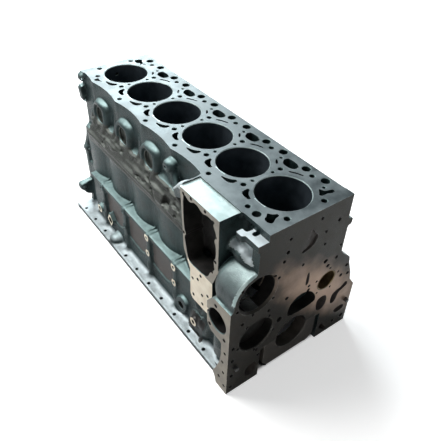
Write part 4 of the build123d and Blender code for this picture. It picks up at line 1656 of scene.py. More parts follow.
def top_light_group() -> bpy.types.NodeTree:
    """Share of pale colour on upward faces, painted top light, broken up by noise.

    Returns:
        The group.
    """
    tree = group_tree("painted_top_light", {"Amount": 0.5, "Scale": 30.0}, ("Mask",))
    bench = NodeBench(tree)
    inside = bench.add("NodeGroupInput")
    out = bench.add("NodeGroupOutput")
    parts = bench.add("ShaderNodeSeparateXYZ")
    bench.link(bench.add("ShaderNodeNewGeometry").outputs["Normal"], parts.inputs[0])
    place = bench.add("ShaderNodeTexCoord").outputs["Object"]
    patch = bench.add("ShaderNodeTexNoise", in_3=4.0, in_4=0.6)
    bench.link(place, patch.inputs["Vector"])
    bench.link(inside.outputs["Scale"], patch.inputs["Scale"])
    up = bench.span(parts.outputs[2], 0.25, 0.95)
    broken = bench.span(patch.outputs[0], 0.25, 0.6, 0.55, 1.0)
    share = bench.math("MULTIPLY", bench.math("MULTIPLY", up, broken), inside.outputs["Amount"])
    bench.link(share, out.inputs["Mask"])
    return tree


def wear_and_highlight_group() -> bpy.types.NodeTree:
    """Share of pale edge colour, where the rounded and the true normal part: partly metal worn bare, partly a
    painted edge highlight.

    Returns:
        The group.
    """
    tree = group_tree("edge_wear_and_highlight", {"Amount": 0.5, "Radius": 0.0014}, ("Mask",))
    bench = NodeBench(tree)
    inside = bench.add("NodeGroupInput")
    out = bench.add("NodeGroupOutput")
    rounded_off = bench.add("ShaderNodeBevel", samples=4)
    bench.link(inside.outputs["Radius"], rounded_off.inputs["Radius"])
    match = bench.add("ShaderNodeVectorMath", operation="DOT_PRODUCT")
    bench.link(rounded_off.outputs[0], match.inputs[0])
    bench.link(bench.add("ShaderNodeNewGeometry").outputs["Normal"], match.inputs[1])
    edge = bench.span(match.outputs["Value"], 0.99, 0.86)
    chips = bench.noise(bench.add("ShaderNodeTexCoord").outputs["Object"], 90.0)
    broken = bench.span(chips, 0.36, 0.62)
    share = bench.math("MULTIPLY", bench.math("MULTIPLY", edge, broken), inside.outputs["Amount"])
    bench.link(share, out.inputs["Mask"])
    return tree


@dataclass(frozen=True)
class Effects:
    """The shader groups that several finishes share."""

    grain: bpy.types.NodeTree
    top_light: bpy.types.NodeTree
    wear_and_highlight: bpy.types.NodeTree


@dataclass(frozen=True)
class MetalFinish:
    """A metal surface: its two colours, gloss and grain.

    The colour runs from dark to light with the casting mottle, and then to a pale colour on
    upward faces that is painted top light. The grain gives the bump.
    """

    name: str
    dark: Point
    light: Point
    metallic: float
    roughness: float
    bump: float
    grain: float = 420.0
    mottle: float = 34.0
    top_light: float = 0.0
    top_light_colour: Point = (0.55, 0.62, 0.6)
    low_top_light: Point | None = None
    warm_reflection: Point | None = None
    warm_reflection_place: Point = (0.377, 0.0, 0.15)
    warm_reflection_size: float = 0.12
    warm_reflection_turn: float = 0.0
    warm_reflection_height: float = 0.34
    wear_and_highlight: float = 0.0
    wear_and_highlight_colour: Point = (0.42, 0.43, 0.41)

    def material(self, effects: Effects) -> bpy.types.Material:
        """Builds the material.

        Args:
            effects: The shared shader groups.

        Returns:
            The material.
        """
        mat = bpy.data.materials.new(self.name)
        mat.use_nodes = True
        bench = NodeBench(mat.node_tree)
        shader = mat.node_tree.nodes["Principled BSDF"]
        shader.inputs["Metallic"].default_value = self.metallic
        sand = bench.group(effects.grain, Grain=self.grain, Mottle=self.mottle)
        colour = bench.mix(sand.outputs["Shade"], self.dark, self.light)
        # A warm patch painted on the face as a reflection.
        if self.warm_reflection is not None:
            colour = self.with_warm_reflection(bench, colour)
        # Pale colour on upward faces: painted top light.
        if self.top_light > 0:
            pale = bench.group(effects.top_light, Amount=self.top_light)
            top_light_colour = self.top_light_colour if self.low_top_light is None else self.lowered(bench)
            colour = bench.mix(pale.outputs["Mask"], colour, top_light_colour)
        # Pale edges: partly wear, partly a painted edge highlight.
        if self.wear_and_highlight > 0:
            bare = bench.group(effects.wear_and_highlight, Amount=self.wear_and_highlight)
            colour = bench.mix(bare.outputs["Mask"], colour, self.wear_and_highlight_colour)
        bench.link(colour, shader.inputs["Base Color"])
        rough = bench.span(sand.outputs["Shade"], 0.0, 1.0, self.roughness * 0.85, self.roughness * 1.15)
        bench.link(rough, shader.inputs["Roughness"])
        bump = bench.add("ShaderNodeBump")
        bump.inputs["Strength"].default_value = 1.0
        bump.inputs["Distance"].default_value = self.bump * MM
        bench.link(sand.outputs["Height"], bump.inputs["Height"])
        bench.link(bump.outputs[0], shader.inputs["Normal"])
        return mat

    def lowered(self, bench: NodeBench) -> bpy.types.NodeSocket:
        """The painted top light colour, which grows paler low down on the pan rail.

        Args:
            bench: The nodes of the material.

        Returns:
            The colour.
        """
        parts = bench.add("ShaderNodeSeparateXYZ")
        bench.link(bench.add("ShaderNodeTexCoord").outputs["Object"], parts.inputs[0])
        share = bench.span(parts.outputs[2], -0.045, -0.07)
        return bench.mix(share, self.top_light_colour, self.low_top_light)

    def with_warm_reflection(self, bench: NodeBench, colour: bpy.types.NodeSocket) -> bpy.types.NodeSocket:
        """Adds a warm painted reflection that fades out from its centre.

        Args:
            bench: The nodes of the material.
            colour: The colour so far.

        Returns:
            The colour with the stain.
        """
        place = bench.add("ShaderNodeTexCoord").outputs["Object"]
        flat = bench.add("ShaderNodeMapping", vector_type="TEXTURE")
        bench.link(place, flat.inputs["Vector"])
        flat.inputs["Location"].default_value = self.warm_reflection_place
        flat.inputs["Rotation"].default_value = (self.warm_reflection_turn, 0, 0)
        flat.inputs["Scale"].default_value = (self.warm_reflection_size, self.warm_reflection_size,
                                                self.warm_reflection_size * self.warm_reflection_height)
        gap = bench.add("ShaderNodeVectorMath", operation="LENGTH")
        bench.link(flat.outputs[0], gap.inputs[0])
        wobble = bench.noise(place, 26.0)
        reach = bench.math("ADD", gap.outputs["Value"], bench.math("MULTIPLY", wobble, 0.8))
        share = bench.span(reach, 1.9, 0.6)
        return bench.mix(share, colour, self.warm_reflection)


def dress(piece: bpy.types.Object, materials: Sequence[bpy.types.Material]) -> None:
    """Gives a piece its materials, in slot order.

    Args:
        piece: The piece.
        materials: The materials.
    """
    piece.data.materials.clear()
    for mat in materials:
        piece.data.materials.append(mat)


def stand(piece: bpy.types.Object, metal: bpy.types.Material, node: str) -> None:
    """Dresses and shades a piece of one metal, and stands it for its frame node.

    Args:
        piece: The piece.
        metal: Its material.
        node: The frame node that it stands for.
    """
    dress(piece, [metal])
    smooth(piece)
    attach(piece, "root")
    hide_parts(node)


def smooth(piece: bpy.types.Object, degrees: float = 32.0) -> None:
    """Shades a piece smooth, with sharp edges where its faces turn by more than the angle."""
    piece.data.polygons.foreach_set("use_smooth", np.ones(len(piece.data.polygons), bool))
    piece.data.set_sharp_from_angle(angle=math.radians(degrees))


@dataclass
class FaceTable:
    """Where each face of a mesh lies, which way it looks, and its slot."""

    x: np.ndarray
    y: np.ndarray
    z: np.ndarray
    nx: np.ndarray
    ny: np.ndarray
    nz: np.ndarray
    kind: np.ndarray

    @classmethod
    def read(cls, mesh: bpy.types.Mesh) -> "FaceTable":
        """Reads the faces of a mesh in millimetres, all in the slot of rough casting.

        Args:
            mesh: The mesh.

        Returns:
            The table.
        """
        n = len(mesh.polygons)
        centre = np.empty(n * 3, np.float32)
        normal = np.empty(n * 3, np.float32)
        mesh.polygons.foreach_get("center", centre)
        mesh.polygons.foreach_get("normal", normal)
        kind = np.full(n, Surface.CAST.value, np.int32)
        return cls(*(centre.reshape(-1, 3) / MM).T, *normal.reshape(-1, 3).T, kind)

    def within(self, **spans: tuple[float, float]) -> np.ndarray:
        """Faces whose named coordinates each lie between two numbers.

        Args:
            spans: Low and high end by the name of the coordinate.

        Returns:
            A mask of the faces.
        """
        there = np.ones(len(self.kind), bool)
        for name, (low, high) in spans.items():
            values = getattr(self, name)
            there &= (values > low) & (values < high)
        return there

    def flat(self, axis: Axis, place: float, way: int) -> np.ndarray:
        """Faces in a plane across an axis that look up the axis, for 1, or down it, for -1.

        Args:
            axis: The axis across which the plane lies.
            place: Place of the plane on the axis.
            way: 1 for up the axis, -1 for down it.

        Returns:
            A mask of the faces.
        """
        places = (self.x, self.y, self.z)[axis.value]
        slopes = (self.nx, self.ny, self.nz)[axis.value]
        return (np.abs(places - place) < NEAR) & (way * slopes > 0.9)

    def reach(self, axis: Axis, u: float, v: float) -> np.ndarray:
        """Distance of each face from a line along an axis."""
        first, second = ((self.x, self.y, self.z)[i] for i in axis.plan)
        return np.hypot(first - u, second - v)

    def give(self, there: np.ndarray, surface: Surface) -> None:
        """Gives the chosen faces a slot."""
        self.kind[there] = surface.value

    def give_cast(self, there: np.ndarray, surface: Surface) -> None:
        """Gives a slot to those of the chosen faces that are still rough casting."""
        self.kind[there & (self.kind == Surface.CAST.value)] = surface.value


@dataclass
class CylinderBlock:
    """The finished block: cast, machined and dressed."""

    s: EngineSizes

    def build(self, finishes: dict[Surface, bpy.types.Material]) -> bpy.types.Object:
        """Casts, machines and dresses the block.

        Args:
            finishes: A material for each kind of surface.

        Returns:
            The block.
        """
        piece = BlockCasting(self.s).build()
        machined(piece, BlockMachining(self.s).cutters())
        dress(piece, [finishes[kind] for kind in Surface])
        self.sort_faces(piece)
        smooth(piece)
        return piece

    def sort_faces(self, piece: bpy.types.Object) -> None:
        """Gives each face its material slot by where it lies and which way it looks.

        Args:
            piece: The piece.
        """
        faces = FaceTable.read(piece.data)
        self.sort_milled(faces)
        self.sort_skirt(faces)
        self.sort_end_recesses(faces)
        self.sort_holes(faces)
        self.sort_pump_barrel(faces)
        self.sort_housing(faces)
        self.sort_bores(faces)
        piece.data.polygons.foreach_set("material_index", faces.kind)
        piece.data.update()

    def sort_milled(self, faces: FaceTable) -> None:
        """Milled faces: deck, pan rail, ends, flanges, shelves and spots. The housing top and the lug top
        take lighter slots as painted light.

        Args:
            faces: The faces of the block, changed in place.
        """
        s = self.s
        cooler_side = faces.y < -s.cooler_front_y
        faces.give(faces.flat(Axis.Z, s.deck_z, 1) | faces.flat(Axis.Z, s.rail_z, -1), Surface.DECK)
        faces.give(faces.flat(Axis.X, s.face_x, 1) | faces.flat(Axis.X, -s.face_x, -1), Surface.FACE)
        faces.give(faces.flat(Axis.Y, -s.housing_y, -1) | faces.flat(Axis.Y, -s.corner_y, -1), Surface.RIM)
        # Housing top and lug top: lighter slots, painted light on upward faces.
        faces.give(faces.flat(Axis.Z, s.housing_top_z, 1) & cooler_side, Surface.LIT_MILLED)
        faces.give(faces.flat(Axis.Z, s.deck_z - s.corner_step, 1) & cooler_side, Surface.LIT_CAST)
        for x, z, out, half in BlockMachining(s).spot_faces():
            there = faces.within(x=(x - half, x + half), z=(z - half, z + half))
            faces.give(there & faces.flat(Axis.Y, -s.skirt_y - out, -1), Surface.RIM)

    def sort_skirt(self, faces: FaceTable) -> None:
        """Gusset behind the cooler housing in painted light, the darker band, and fittings low on the skirt,
        with hole walls and a bracket darkened as painted shade.

        Args:
            faces: The faces of the block, changed in place.
        """
        s = self.s
        # Gusset top: lighter slot, painted light.
        gusset = faces.within(x=(s.housing_x0 - 54, s.housing_x0 + 2))
        gusset &= (faces.y < -92) & (faces.z > s.housing_top_z - 58) & (faces.nz > 0.1)
        faces.give_cast(gusset, Surface.LIT_CAST)
        # Hole walls in the skirt fittings: near-black painted shade.
        for x, z, *_ in BlockMachining(s).skirt_holes()[1:3]:
            inside = (faces.reach(Axis.Y, x, z) < 10.8) & (np.abs(faces.nx) + np.abs(faces.nz) > 0.2)
            faces.give(inside & faces.within(y=(-s.skirt_y - 8.8, -s.skirt_y + 16)), Surface.HOLLOW)
        # Band: a darker slot with less painted top light.
        band = faces.within(x=(-s.face_x + 1, s.housing_x0 - 2), z=(160, 238))
        faces.give_cast(band & (faces.y < -98), Surface.BAND)
        # The bracket takes the same near-black painted shade.
        bracket = faces.within(x=(184, 246), z=(-75, -16))
        faces.give_cast(bracket & (faces.y < -s.skirt_y - 3), Surface.HOLLOW)

    def sort_end_recesses(self, faces: FaceTable) -> None:
        """Corner port, oil pump bore and arch recess, darkened as painted shade.

        Args:
            faces: The faces of the block, changed in place.
        """
        s = self.s
        port = faces.reach(Axis.Y, s.port_x, s.port_z) < s.port_r + 0.5
        faces.give(port & faces.within(y=(-s.corner_y + 1.2, -s.corner_y + 45)), Surface.HOLLOW)
        oil = faces.reach(Axis.X, s.oil_y, s.oil_z) < s.oil_r + 0.5
        faces.give(oil & faces.within(x=(s.face_x - 25, s.face_x - 1)), Surface.HOLLOW)
        arch = faces.within(x=(s.face_x - 26, s.face_x - 0.2), y=(-24, 62), z=(52, 116), nx=(-0.5, 0.5))
        faces.give(arch, Surface.HOLLOW)

    def sort_holes(self, faces: FaceTable) -> None:
        """Walls of small drilled holes, darkened as painted shade, and the brown front pockets.

        Args:
            faces: The faces of the block, changed in place.
        """
        s = self.s
        machining = BlockMachining(s)
        sides = ((faces.x - s.face_x, Axis.X, machining.front_holes()),
                 (-s.corner_y - faces.y, Axis.Y, machining.corner_holes()),
                 (-s.housing_y - faces.y, Axis.Y, machining.rim_holes()))
        for behind, axis, holes in sides:
            deep = (behind < -0.05) & (behind > -21)
            for u, v, r in holes:
                faces.give_cast(deep & (faces.reach(axis, u, v) < r + 1.2), Surface.HOLLOW)
        for outline, depth in machining.front_pockets():
            low, high = np.min(outline, axis=0), np.max(outline, axis=0)
            inside = faces.within(x=(s.face_x - depth - 1, s.face_x - 0.05), y=(low[0] - 1, high[0] + 1),
                                  z=(low[1] - 1, high[1] + 1))
            faces.give_cast(inside, Surface.PANEL)
        ahead = faces.within(x=(s.face_x - 17, s.face_x - 0.05))
        for circle in machining.bolt_circles():
            off = np.abs(faces.reach(Axis.X, circle.y, circle.z) - circle.r)
            faces.give_cast(ahead & (off < 4), Surface.HOLLOW)

    def sort_pump_barrel(self, faces: FaceTable) -> None:
        """Front edge of the water pump barrel with a painted highlight, and its cooler side skin and the
        ridge above it in painted light.

        Args:
            faces: The faces of the block, changed in place.
        """
        s = self.s
        outer = s.pump_r + s.pump_wall
        barrel = faces.reach(Axis.X, s.pump_y, s.pump_z)
        # Painted highlight on the barrel's front edge.
        edge = (barrel > outer - 7) & (barrel < outer + 1) & (faces.nx > 0.15)
        edge &= faces.within(x=(s.face_x - 6, s.face_x - 0.1)) & (faces.y < s.pump_y + 10)
        faces.give(edge & (faces.z > s.pump_z + 2), Surface.LIT_MILLED)
        # Painted light on the barrel's cooler side.
        skin = (np.abs(barrel - s.pump_r - s.pump_wall) < 2) & (faces.x > s.face_x - 60)
        faces.give_cast(skin & (faces.y < s.pump_y + 4), Surface.LIT_BARREL)
        # Painted light on the top of the ridge.
        ridge = faces.within(x=(s.housing_x1 + 3, s.face_x - 8), y=(-122, -92), z=(250, 276))
        faces.give_cast(ridge & (faces.nz > 0.2), Surface.LIT_CAST)

    def sort_housing(self, faces: FaceTable) -> None:
        """Cooler cavity and crankshaft tunnel, darkened as painted shade, lower pad and recessed skirt
        panels.

        Args:
            faces: The faces of the block, changed in place.
        """
        s = self.s
        cavity = faces.within(x=(s.housing_x0 + 3, s.housing_x1 - 3), y=(1.5 - s.housing_y, -86),
                              z=(s.housing_floor_z - 3, s.housing_top_z - 6))
        faces.give_cast(cavity, Surface.HOLLOW)
        tunnel = faces.reach(Axis.X, 0, 0) < s.crank_r + 0.5
        faces.give(tunnel & (np.abs(faces.nx) < 0.5), Surface.HOLLOW)
        lower = (faces.x < s.housing_x1 + 2) & (faces.z < s.housing_floor_z + 8)
        faces.give(lower & (faces.kind == Surface.RIM.value), Surface.PAD)
        inner = np.abs(np.abs(faces.y) - s.skirt_y + 5) < 2.5
        faces.give_cast(inner & (np.abs(faces.ny) > 0.9) & faces.within(z=(-34, 49)), Surface.PANEL)

    def sort_bores(self, faces: FaceTable) -> None:
        """Cylinder bores and water pump bore, darkened as painted shade, and mouth of the oil pump bore;
        painted highlights on the bore lips and on a strip low in the pump bore.

        Args:
            faces: The faces of the block, changed in place.
        """
        s = self.s
        for x in s.bores:
            wall = np.abs(faces.reach(Axis.Z, x, 0) - s.bore_r) < 1.4
            # Cylinder walls: darkened as painted shade.
            faces.give(wall & (np.abs(faces.nz) < 0.8) & (faces.z > s.bore_end_z - 12), Surface.BORE)
            # Bore lips: painted highlight.
            faces.give(wall & (faces.nz > 0.3) & (faces.z > s.deck_z - 1.7), Surface.LIT_MILLED)
        across = np.abs(faces.nx) < 0.5
        step = s.face_x - 58
        pump = faces.reach(Axis.X, s.pump_y, s.pump_z) < s.pump_r + 4.2
        pump &= faces.within(x=(s.face_x - 67, s.face_x - 0.2))
        # Pump bore walls: near-black painted shade.
        faces.give(pump & across, Surface.HOLLOW)
        faces.give(pump & (faces.nx > 0.5) & (faces.x > step), Surface.FACE)
        mouth = (faces.reach(Axis.X, s.oil_y, s.oil_z) < s.oil_r + 2.6) & (faces.x > s.face_x - 3)
        faces.give(mouth & (faces.nx > 0.3), Surface.FACE)
        faces.give(pump & (faces.nx > 0.5) & (faces.x < step), Surface.DRILLED)
        # A strip low in the pump bore: painted highlight.
        highlight_strip = (faces.z < s.pump_z - 34) & faces.within(y=(s.pump_y - 24, s.pump_y + 8))
        faces.give(pump & across & highlight_strip & (faces.x < s.face_x - 5), Surface.DRILLED)


@dataclass
class MainCaps:
    """Main bearing caps with chamfered edges and their hexagon flange bolts."""

    s: EngineSizes
    chamfer: float = 14.0
    bolt_y: float = 58.0

    def spans(self) -> list[tuple[float, float]]:
        """Front and rear end of each cap.

        Returns:
            Ends of each cap, from the front.
        """
        s = self.s
        half = s.bulkhead / 2
        spans = [(x - half, x + half) for x in s.mains]
        spans[0] = (s.mains[0] - half, s.face_x)
        spans[-1] = (-s.face_x, s.mains[-1] + half)
        return spans

    def cap(self, index: int, x0: float, x1: float) -> bpy.types.Object:
        """One cap: its side outline with the bearing arch, carried along the crankshaft.

        Args:
            index: Number of the piece, from the front.
            x0: Rear face of the cap.
            x1: Front face of the cap.

        Returns:
            The cap.
        """
        s = self.s
        w, c, b = s.cap_half, self.chamfer, s.cap_bottom_z
        rise = math.asin(s.register_z / s.crank_r)
        a = np.linspace(math.pi - rise, TURN + rise, 40)
        arch = [(s.crank_r * math.cos(t), s.crank_r * math.sin(t)) for t in a]
        outline = [(-w, s.register_z), *arch, (w, s.register_z), (w, b + c), (w - c, b), (-w + c, b),
                   (-w, b + c)]
        shell = Shell()
        shell.prism(Axis.X, outline, x0, x1)
        piece = shell.build(f"bearing_cap_{index}")
        bevel = piece.modifiers.new("edges", "BEVEL")
        bevel.width = 0.8 * MM
        bevel.segments = 1
        bevel.limit_method = "ANGLE"
        bevel.angle_limit = math.radians(40)
        return piece

    def bolt(self, name: str, x: float, side: int) -> bpy.types.Object:
        """One bolt: a turned flange and a six-sided head with a chamfered top.

        Args:
            name: Name of the bolt.
            x: Place along the crankshaft.
            side: 1 for the pushrod side, -1 for the cooler side.

        Returns:
            The bolt.
        """
        s = self.s
        y = side * self.bolt_y
        b = s.cap_bottom_z
        seat = b + 0.02
        shell = Shell()
        shell.lathe(Axis.Z, x, y, [(0, b - 3), (12.6, b - 3), (13.4, b - 1.6), (13.4, seat), (0, seat)], 40)
        flats = [(x + 11 * math.cos(t), y + 11 * math.sin(t)) for t in np.arange(6) * TURN / 6]
        shell.prism(Axis.Z, flats, b - 10.2, b - 2.9)
        shell.lathe(Axis.Z, x, y, [(0, b - 11), (8.6, b - 11), (9.6, b - 10.1), (0, b - 10.1)], 40)
        return shell.build(name)

    def build(self, cap_metal: bpy.types.Material, bolt_metal: bpy.types.Material) -> None:
        """Builds all caps and bolts, and stands them for their frame nodes."""
        for i, (x0, x1) in enumerate(self.spans(), start=1):
            stand(self.cap(i, x0, x1), cap_metal, f"main_bearing_cap_{i}")
            for side, name in ((-1, "cooler_side"), (1, "pushrod_side")):
                bolt = self.bolt(f"cap_bolt_{i}_{name}", (x0 + x1) / 2, side)
                stand(bolt, bolt_metal, f"main_cap_bolt_{i}_{name}")


@dataclass
class CorePlugs:
    """Pressed sheet cups in the core holes of the cooler side."""

    s: EngineSizes
    sheet: float = 2.0
    depth: float = 9.0

    def plug(self, index: int, x: float) -> bpy.types.Object:
        """One cup: a rolled rim, a straight wall and a slightly domed floor.

        Args:
            index: Number of the piece, from the front.
            x: Place along the crankshaft.

        Returns:
            The cup.
        """
        s = self.s
        r = s.plug_r
        y = -s.plug_y + self.depth
        rim = y + self.sheet
        rows = [(0, y - 0.8), (r * 0.5, y - 0.2), (r - 4, y), (r - 2.2, y - 1.2), (r - 2, y - 6),
                (r - 0.4, y - 6.8), (r, y - 6), (r, rim), (r - 3, rim + 1), (0, rim + 0.6)]
        return turned(f"core_cup_{index}", Axis.Y, x, s.plug_z, rows, 48)

    def build(self, metal: bpy.types.Material) -> None:
        """Builds the cups, and stands them for their frame nodes."""
        for i, x in enumerate(self.s.plugs, start=1):
            stand(self.plug(i, x), metal, f"core_plug_{i}")


@dataclass
class EndFittings:
    """Dowels in the end faces, the camshaft bush and the camshaft end plug."""

    s: EngineSizes
    dowel_r: float = 5.0

    def bush(self) -> bpy.types.Object:
        """The bush: a square profile with chamfered mouths, carried once round the camshaft line.

        Returns:
            The bush.
        """
        s = self.s
        x1 = s.face_x
        x0 = x1 - s.bulkhead
        r0, r1 = s.cam_r - 2, s.cam_r
        lip = 0.8
        mouth = r0 + lip
        profile = np.array([(r1, x0), (r1, x1), (mouth, x1), (r0, x1 - lip), (r0, x0 + lip), (mouth, x0)])
        count = 64
        a = np.arange(count) * TURN / count
        points = np.zeros((len(profile) * count, 3))
        points[:, 0] = np.repeat(profile[:, 1], count)
        points[:, 1] = s.cam_y + np.outer(profile[:, 0], np.cos(a)).ravel()
        points[:, 2] = s.cam_z + np.outer(profile[:, 0], np.sin(a)).ravel()
        faces = []
        for j in range(len(profile)):
            p, q = j * count, (j + 1) % len(profile) * count
            faces += [[p + i, p + (i + 1) % count, q + (i + 1) % count, q + i] for i in range(count)]
        return mesh_object("cam_bush", points, faces)

    def build(self, ground: bpy.types.Material, sheet: bpy.types.Material,
              bronze: bpy.types.Material) -> None:
        """Builds the fittings, and stands them for their frame nodes.

        Args:
            ground: Material of the dowels.
            sheet: Material of the end plug.
            bronze: Material of the bush.
        """
        s = self.s
        r = self.dowel_r
        places = (("front_dowel_1", 168, -7, 1), ("front_dowel_2", -150, -7, 1),
                  ("rear_dowel_1", -92, 262, -1), ("rear_dowel_2", 136, -20, -1))
        for node, y, z, side in places:
            x = side * s.face_x
            root, tip = x - side * 12, x + side * 8
            rows = [(0, root), (r, root), (r, x + side * 6.8), (r - 1.2, tip), (0, tip)]
            stand(turned(f"{node}_pin", Axis.X, y, z, rows, 40), ground, node)
        x = -s.face_x
        r = s.cam_r
        rows = [(0, x + 3), (r - 6, x + 3), (r - 4, x + 1.6), (r - 0.8, x + 1.6), (r, x + 2.4), (r, x + 6),
                (0, x + 6)]
        cup = turned("cam_end_plug", Axis.X, s.cam_y, s.cam_z, rows, 48)
        bush = self.bush()
        stand(cup, sheet, "camshaft_rear_plug")
        stand(bush, bronze, "camshaft_bush")


@dataclass
class Studio:
    """Camera at the photograph's angle, pale floor and soft lights."""

    camera_place: Point = (0.8279, -0.5458, 0.8879)
    forward: Point = (-0.605199, 0.463438, -0.647270)
    right: Point = (0.588753, 0.807831, 0.027912)
    lens: float = 41.98
    floor_z: float = -0.0885
    floor_glow: float = 0.55
    floor_reach: float = 9.0
    floor_flat: float = 6.0
    floor_rise: float = 0.25
    floor_rows: int = 40
    footprint: tuple[float, float] = (0.374, 0.155)

    def camera(self) -> None:
        """Puts the camera where the photograph was taken from."""
        data = bpy.data.cameras.new("camera")
        data.sensor_width = 36
        data.sensor_fit = "HORIZONTAL"
        data.lens = self.lens
        eye = bpy.data.objects.new("camera", data)
        bpy.context.scene.collection.objects.link(eye)
        back = -Vector(self.forward)
        right = Vector(self.right)
        turn = Matrix((right, back.cross(right), back)).transposed()
        eye.matrix_world = Matrix.Translation(self.camera_place) @ turn.to_4x4()
        bpy.context.scene.camera = eye

    def light(self, name: str, place: Point, aim: Point, size: float, watts: float, tint: Point) -> None:
        """Hangs one square soft light.

        Args:
            name: Name of the light.
            place: Where it hangs.
            aim: The point that it faces.
            size: Length of its side, in metres.
            watts: Power.
            tint: Colour.
        """
        data = bpy.data.lights.new(name, "AREA")
        data.size = size
        data.energy = watts
        data.color = tint
        lamp = bpy.data.objects.new(name, data)
        lamp.location = place
        lamp.rotation_euler = (Vector(aim) - Vector(place)).to_track_quat("-Z", "Y").to_euler()
        bpy.context.scene.collection.objects.link(lamp)

    def floor(self) -> None:
        """Lays the pale floor: a sheet that rises in a smooth curve far behind the block."""
        n = self.floor_rows
        rows = np.linspace(-self.floor_reach, self.floor_reach, n)
        grid_x, grid_y = np.meshgrid(rows, rows, indexing="ij")
        far = np.maximum(np.hypot(grid_x, grid_y) - self.floor_flat, 0)
        height = self.floor_z + self.floor_rise * far ** 2
        points = np.stack([grid_x, grid_y, height], axis=-1).reshape(-1, 3) / MM
        index = np.arange(n * n).reshape(n, n)
        faces = np.stack([index[:-1, :-1], index[1:, :-1], index[1:, 1:], index[:-1, 1:]], axis=-1)
        sheet = mesh_object("floor", points, faces.reshape(-1, 4).tolist())
        sheet.data.polygons.foreach_set("use_smooth", np.ones(len(sheet.data.polygons), bool))
        mat = bpy.data.materials.new("pale_floor")
        mat.use_nodes = True
        bench = NodeBench(mat.node_tree)
        shader = mat.node_tree.nodes["Principled BSDF"]
        shader.inputs["Base Color"].default_value = (0.85, 0.86, 0.87, 1)
        shader.inputs["Roughness"].default_value = 0.9
        shader.inputs["Emission Color"].default_value = (1, 1, 1, 1)
        seen = bench.add("ShaderNodeLightPath").outputs["Is Camera Ray"]
        parts = bench.add("ShaderNodeSeparateXYZ")
        bench.link(bench.add("ShaderNodeTexCoord").outputs["Object"], parts.inputs[0])
        beside = [bench.span(bench.math("ABSOLUTE", parts.outputs[i]), half - 0.01, half)
                  for i, half in enumerate(self.footprint)]
        open_floor = bench.math("MAXIMUM", *beside)
        glow = bench.math("MULTIPLY", bench.math("MULTIPLY", seen, open_floor), self.floor_glow)
        bench.link(glow, shader.inputs["Emission Strength"])
        dress(sheet, [mat])

    def build(self) -> None:
        """Sets the whole studio."""
        self.camera()
        self.floor()
        scene = bpy.context.scene
        scene.view_settings.view_transform = "Standard"
        world = bpy.data.worlds.new("studio")
        scene.world = world
        world.use_nodes = True
        world.node_tree.nodes["Background"].inputs[0].default_value = (0.92, 0.97, 1.0, 1)
        world.node_tree.nodes["Background"].inputs[1].default_value = 0.16
        self.light("top", (-0.9, -0.7, 2.2), (0, 0, 0.1), 1.2, 62, (1.0, 0.99, 0.97))
        self.light("back", (-2.6, 1.1, 1.5), (-0.1, 0, 0.2), 1.3, 75, (0.93, 0.99, 1.0))
        self.light("low", (1.8, -0.9, 0.5), (0.3, 0, 0.1), 0.7, 3, (1.0, 0.9, 0.8))


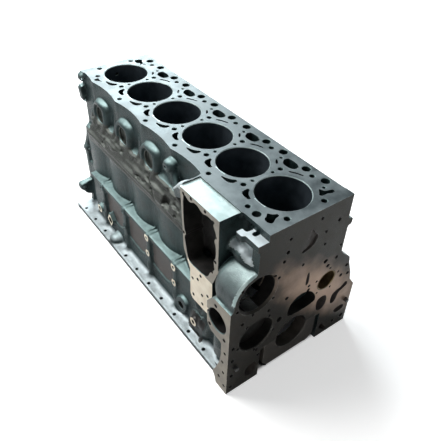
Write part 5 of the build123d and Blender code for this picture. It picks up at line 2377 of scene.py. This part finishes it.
def finishes(effects: Effects) -> dict[Surface, bpy.types.Material]:
    """Materials of the block's surfaces.

    Args:
        effects: The shared shader groups.

    Returns:
        A material for each kind of surface.
    """
    table = {
        # Cast iron: the pale colour on upward faces, paler low on the rail, is painted top light.
        Surface.CAST: MetalFinish(
            "cast_iron", (0.011, 0.022, 0.023), (0.033, 0.058, 0.060), 0.35, 0.40, 0.35, top_light=0.80,
            top_light_colour=(0.33, 0.48, 0.48), low_top_light=(0.66, 0.76, 0.80), wear_and_highlight=0.35,
            wear_and_highlight_colour=(0.24, 0.29, 0.29)),
        Surface.DECK: MetalFinish(
            "milled_deck", (0.118, 0.148, 0.158), (0.215, 0.255, 0.268), 0.8, 0.52, 0.05, grain=900,
            mottle=26, wear_and_highlight=0.6, wear_and_highlight_colour=(0.6, 0.64, 0.64)),
        # End faces: the warm patch near the front is a painted reflection.
        Surface.FACE: MetalFinish(
            "milled_face", (0.020, 0.019, 0.015), (0.040, 0.036, 0.029), 0.4, 0.42, 0.06, grain=700,
            warm_reflection=(0.58, 0.41, 0.31), warm_reflection_place=(0.377, 0.070, 0.090), warm_reflection_size=0.155, warm_reflection_turn=-0.75,
            wear_and_highlight=0.8),
        # Dark bore metal: painted shade inside the cylinders.
        Surface.BORE: MetalFinish(
            "honed_bore", (0.040, 0.054, 0.068), (0.075, 0.095, 0.115), 0.5, 0.38, 0.03, grain=900),
        Surface.RIM: MetalFinish(
            "milled_rim", (0.22, 0.20, 0.17), (0.34, 0.31, 0.26), 0.5, 0.45, 0.06, grain=700, wear_and_highlight=0.7,
            wear_and_highlight_colour=(0.7, 0.68, 0.62)),
        # Bored steel, also used as a painted highlight strip low in the water pump bore.
        Surface.DRILLED: MetalFinish(
            "bored_steel_and_highlight", (0.26, 0.28, 0.29), (0.44, 0.47, 0.48), 0.9, 0.3, 0.03, grain=900),
        Surface.PANEL: MetalFinish(
            "cored_panel", (0.060, 0.056, 0.054), (0.120, 0.106, 0.100), 0.3, 0.5, 0.3),
        Surface.PAD: MetalFinish(
            "milled_pad", (0.80, 0.70, 0.55), (0.95, 0.87, 0.72), 0.2, 0.45, 0.06, grain=700),
        # Lighter copy of the milled metal: painted light on the housing top, bore lips and pump barrel edge.
        Surface.LIT_MILLED: MetalFinish(
            "painted_light_milled", (0.42, 0.55, 0.55), (0.60, 0.72, 0.72), 0.6, 0.42, 0.05, grain=800),
        # Near-black: painted shade in holes, cavities, bores and recesses.
        Surface.HOLLOW: MetalFinish(
            "painted_shade_hollow", (0.010, 0.010, 0.010), (0.026, 0.024, 0.023), 0.3, 0.42, 0.12),
        # Lighter copy of the cast iron with painted top light, for the pump barrel's lit side.
        Surface.LIT_BARREL: MetalFinish(
            "painted_light_barrel", (0.036, 0.050, 0.053), (0.085, 0.108, 0.112), 0.4, 0.40, 0.3, top_light=0.8,
            top_light_colour=(0.40, 0.52, 0.52)),
        # Darker band of cast iron, with less painted top light.
        Surface.BAND: MetalFinish(
            "darker_band_cast", (0.018, 0.020, 0.017), (0.060, 0.064, 0.058), 0.35, 0.40, 0.4, top_light=0.35,
            top_light_colour=(0.32, 0.36, 0.33)),
        # Lighter copy of the cast iron with full painted top light: gusset, lug top and pump ridge.
        Surface.LIT_CAST: MetalFinish(
            "painted_light_cast", (0.26, 0.31, 0.32), (0.56, 0.62, 0.63), 0.25, 0.45, 0.3, top_light=1.0,
            top_light_colour=(0.66, 0.76, 0.80)),
    }
    return {kind: finish.material(effects) for kind, finish in table.items()}


def main() -> None:
    """Builds every piece in order."""
    logging.basicConfig(level=logging.INFO, format="%(message)s")
    sizes = EngineSizes()
    Studio().build()
    effects = Effects(grain_group(), top_light_group(), wear_and_highlight_group())
    block = CylinderBlock(sizes).build(finishes(effects))
    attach(block, "root")
    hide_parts("cylinder_block")
    log.info("block: %d faces", len(block.data.polygons))
    metals = (
        MetalFinish("cap_iron", (0.05, 0.045, 0.04), (0.10, 0.09, 0.08), 0.5, 0.45, 0.1, grain=600, wear_and_highlight=0.5),
        MetalFinish("bolt_steel", (0.02, 0.02, 0.022), (0.04, 0.04, 0.045), 0.8, 0.4, 0.05, grain=600),
        MetalFinish("sheet_steel", (0.05, 0.055, 0.05), (0.11, 0.12, 0.11), 0.8, 0.4, 0.05),
        MetalFinish("ground_steel", (0.10, 0.10, 0.10), (0.20, 0.20, 0.20), 0.9, 0.35, 0.02),
        MetalFinish("bush_bronze", (0.25, 0.17, 0.09), (0.4, 0.3, 0.17), 0.9, 0.35, 0.03),
    )
    cap_iron, bolt_steel, sheet, ground, bronze = (metal.material(effects) for metal in metals)
    MainCaps(sizes).build(cap_iron, bolt_steel)
    log.info("caps and bolts: %d", 3 * len(sizes.mains))
    CorePlugs(sizes).build(sheet)
    log.info("core plugs: %d", len(sizes.plugs))
    EndFittings(sizes).build(ground, sheet, bronze)
    log.info("end fittings: dowels, bush and plug")


if __name__ == "__main__":
    main()
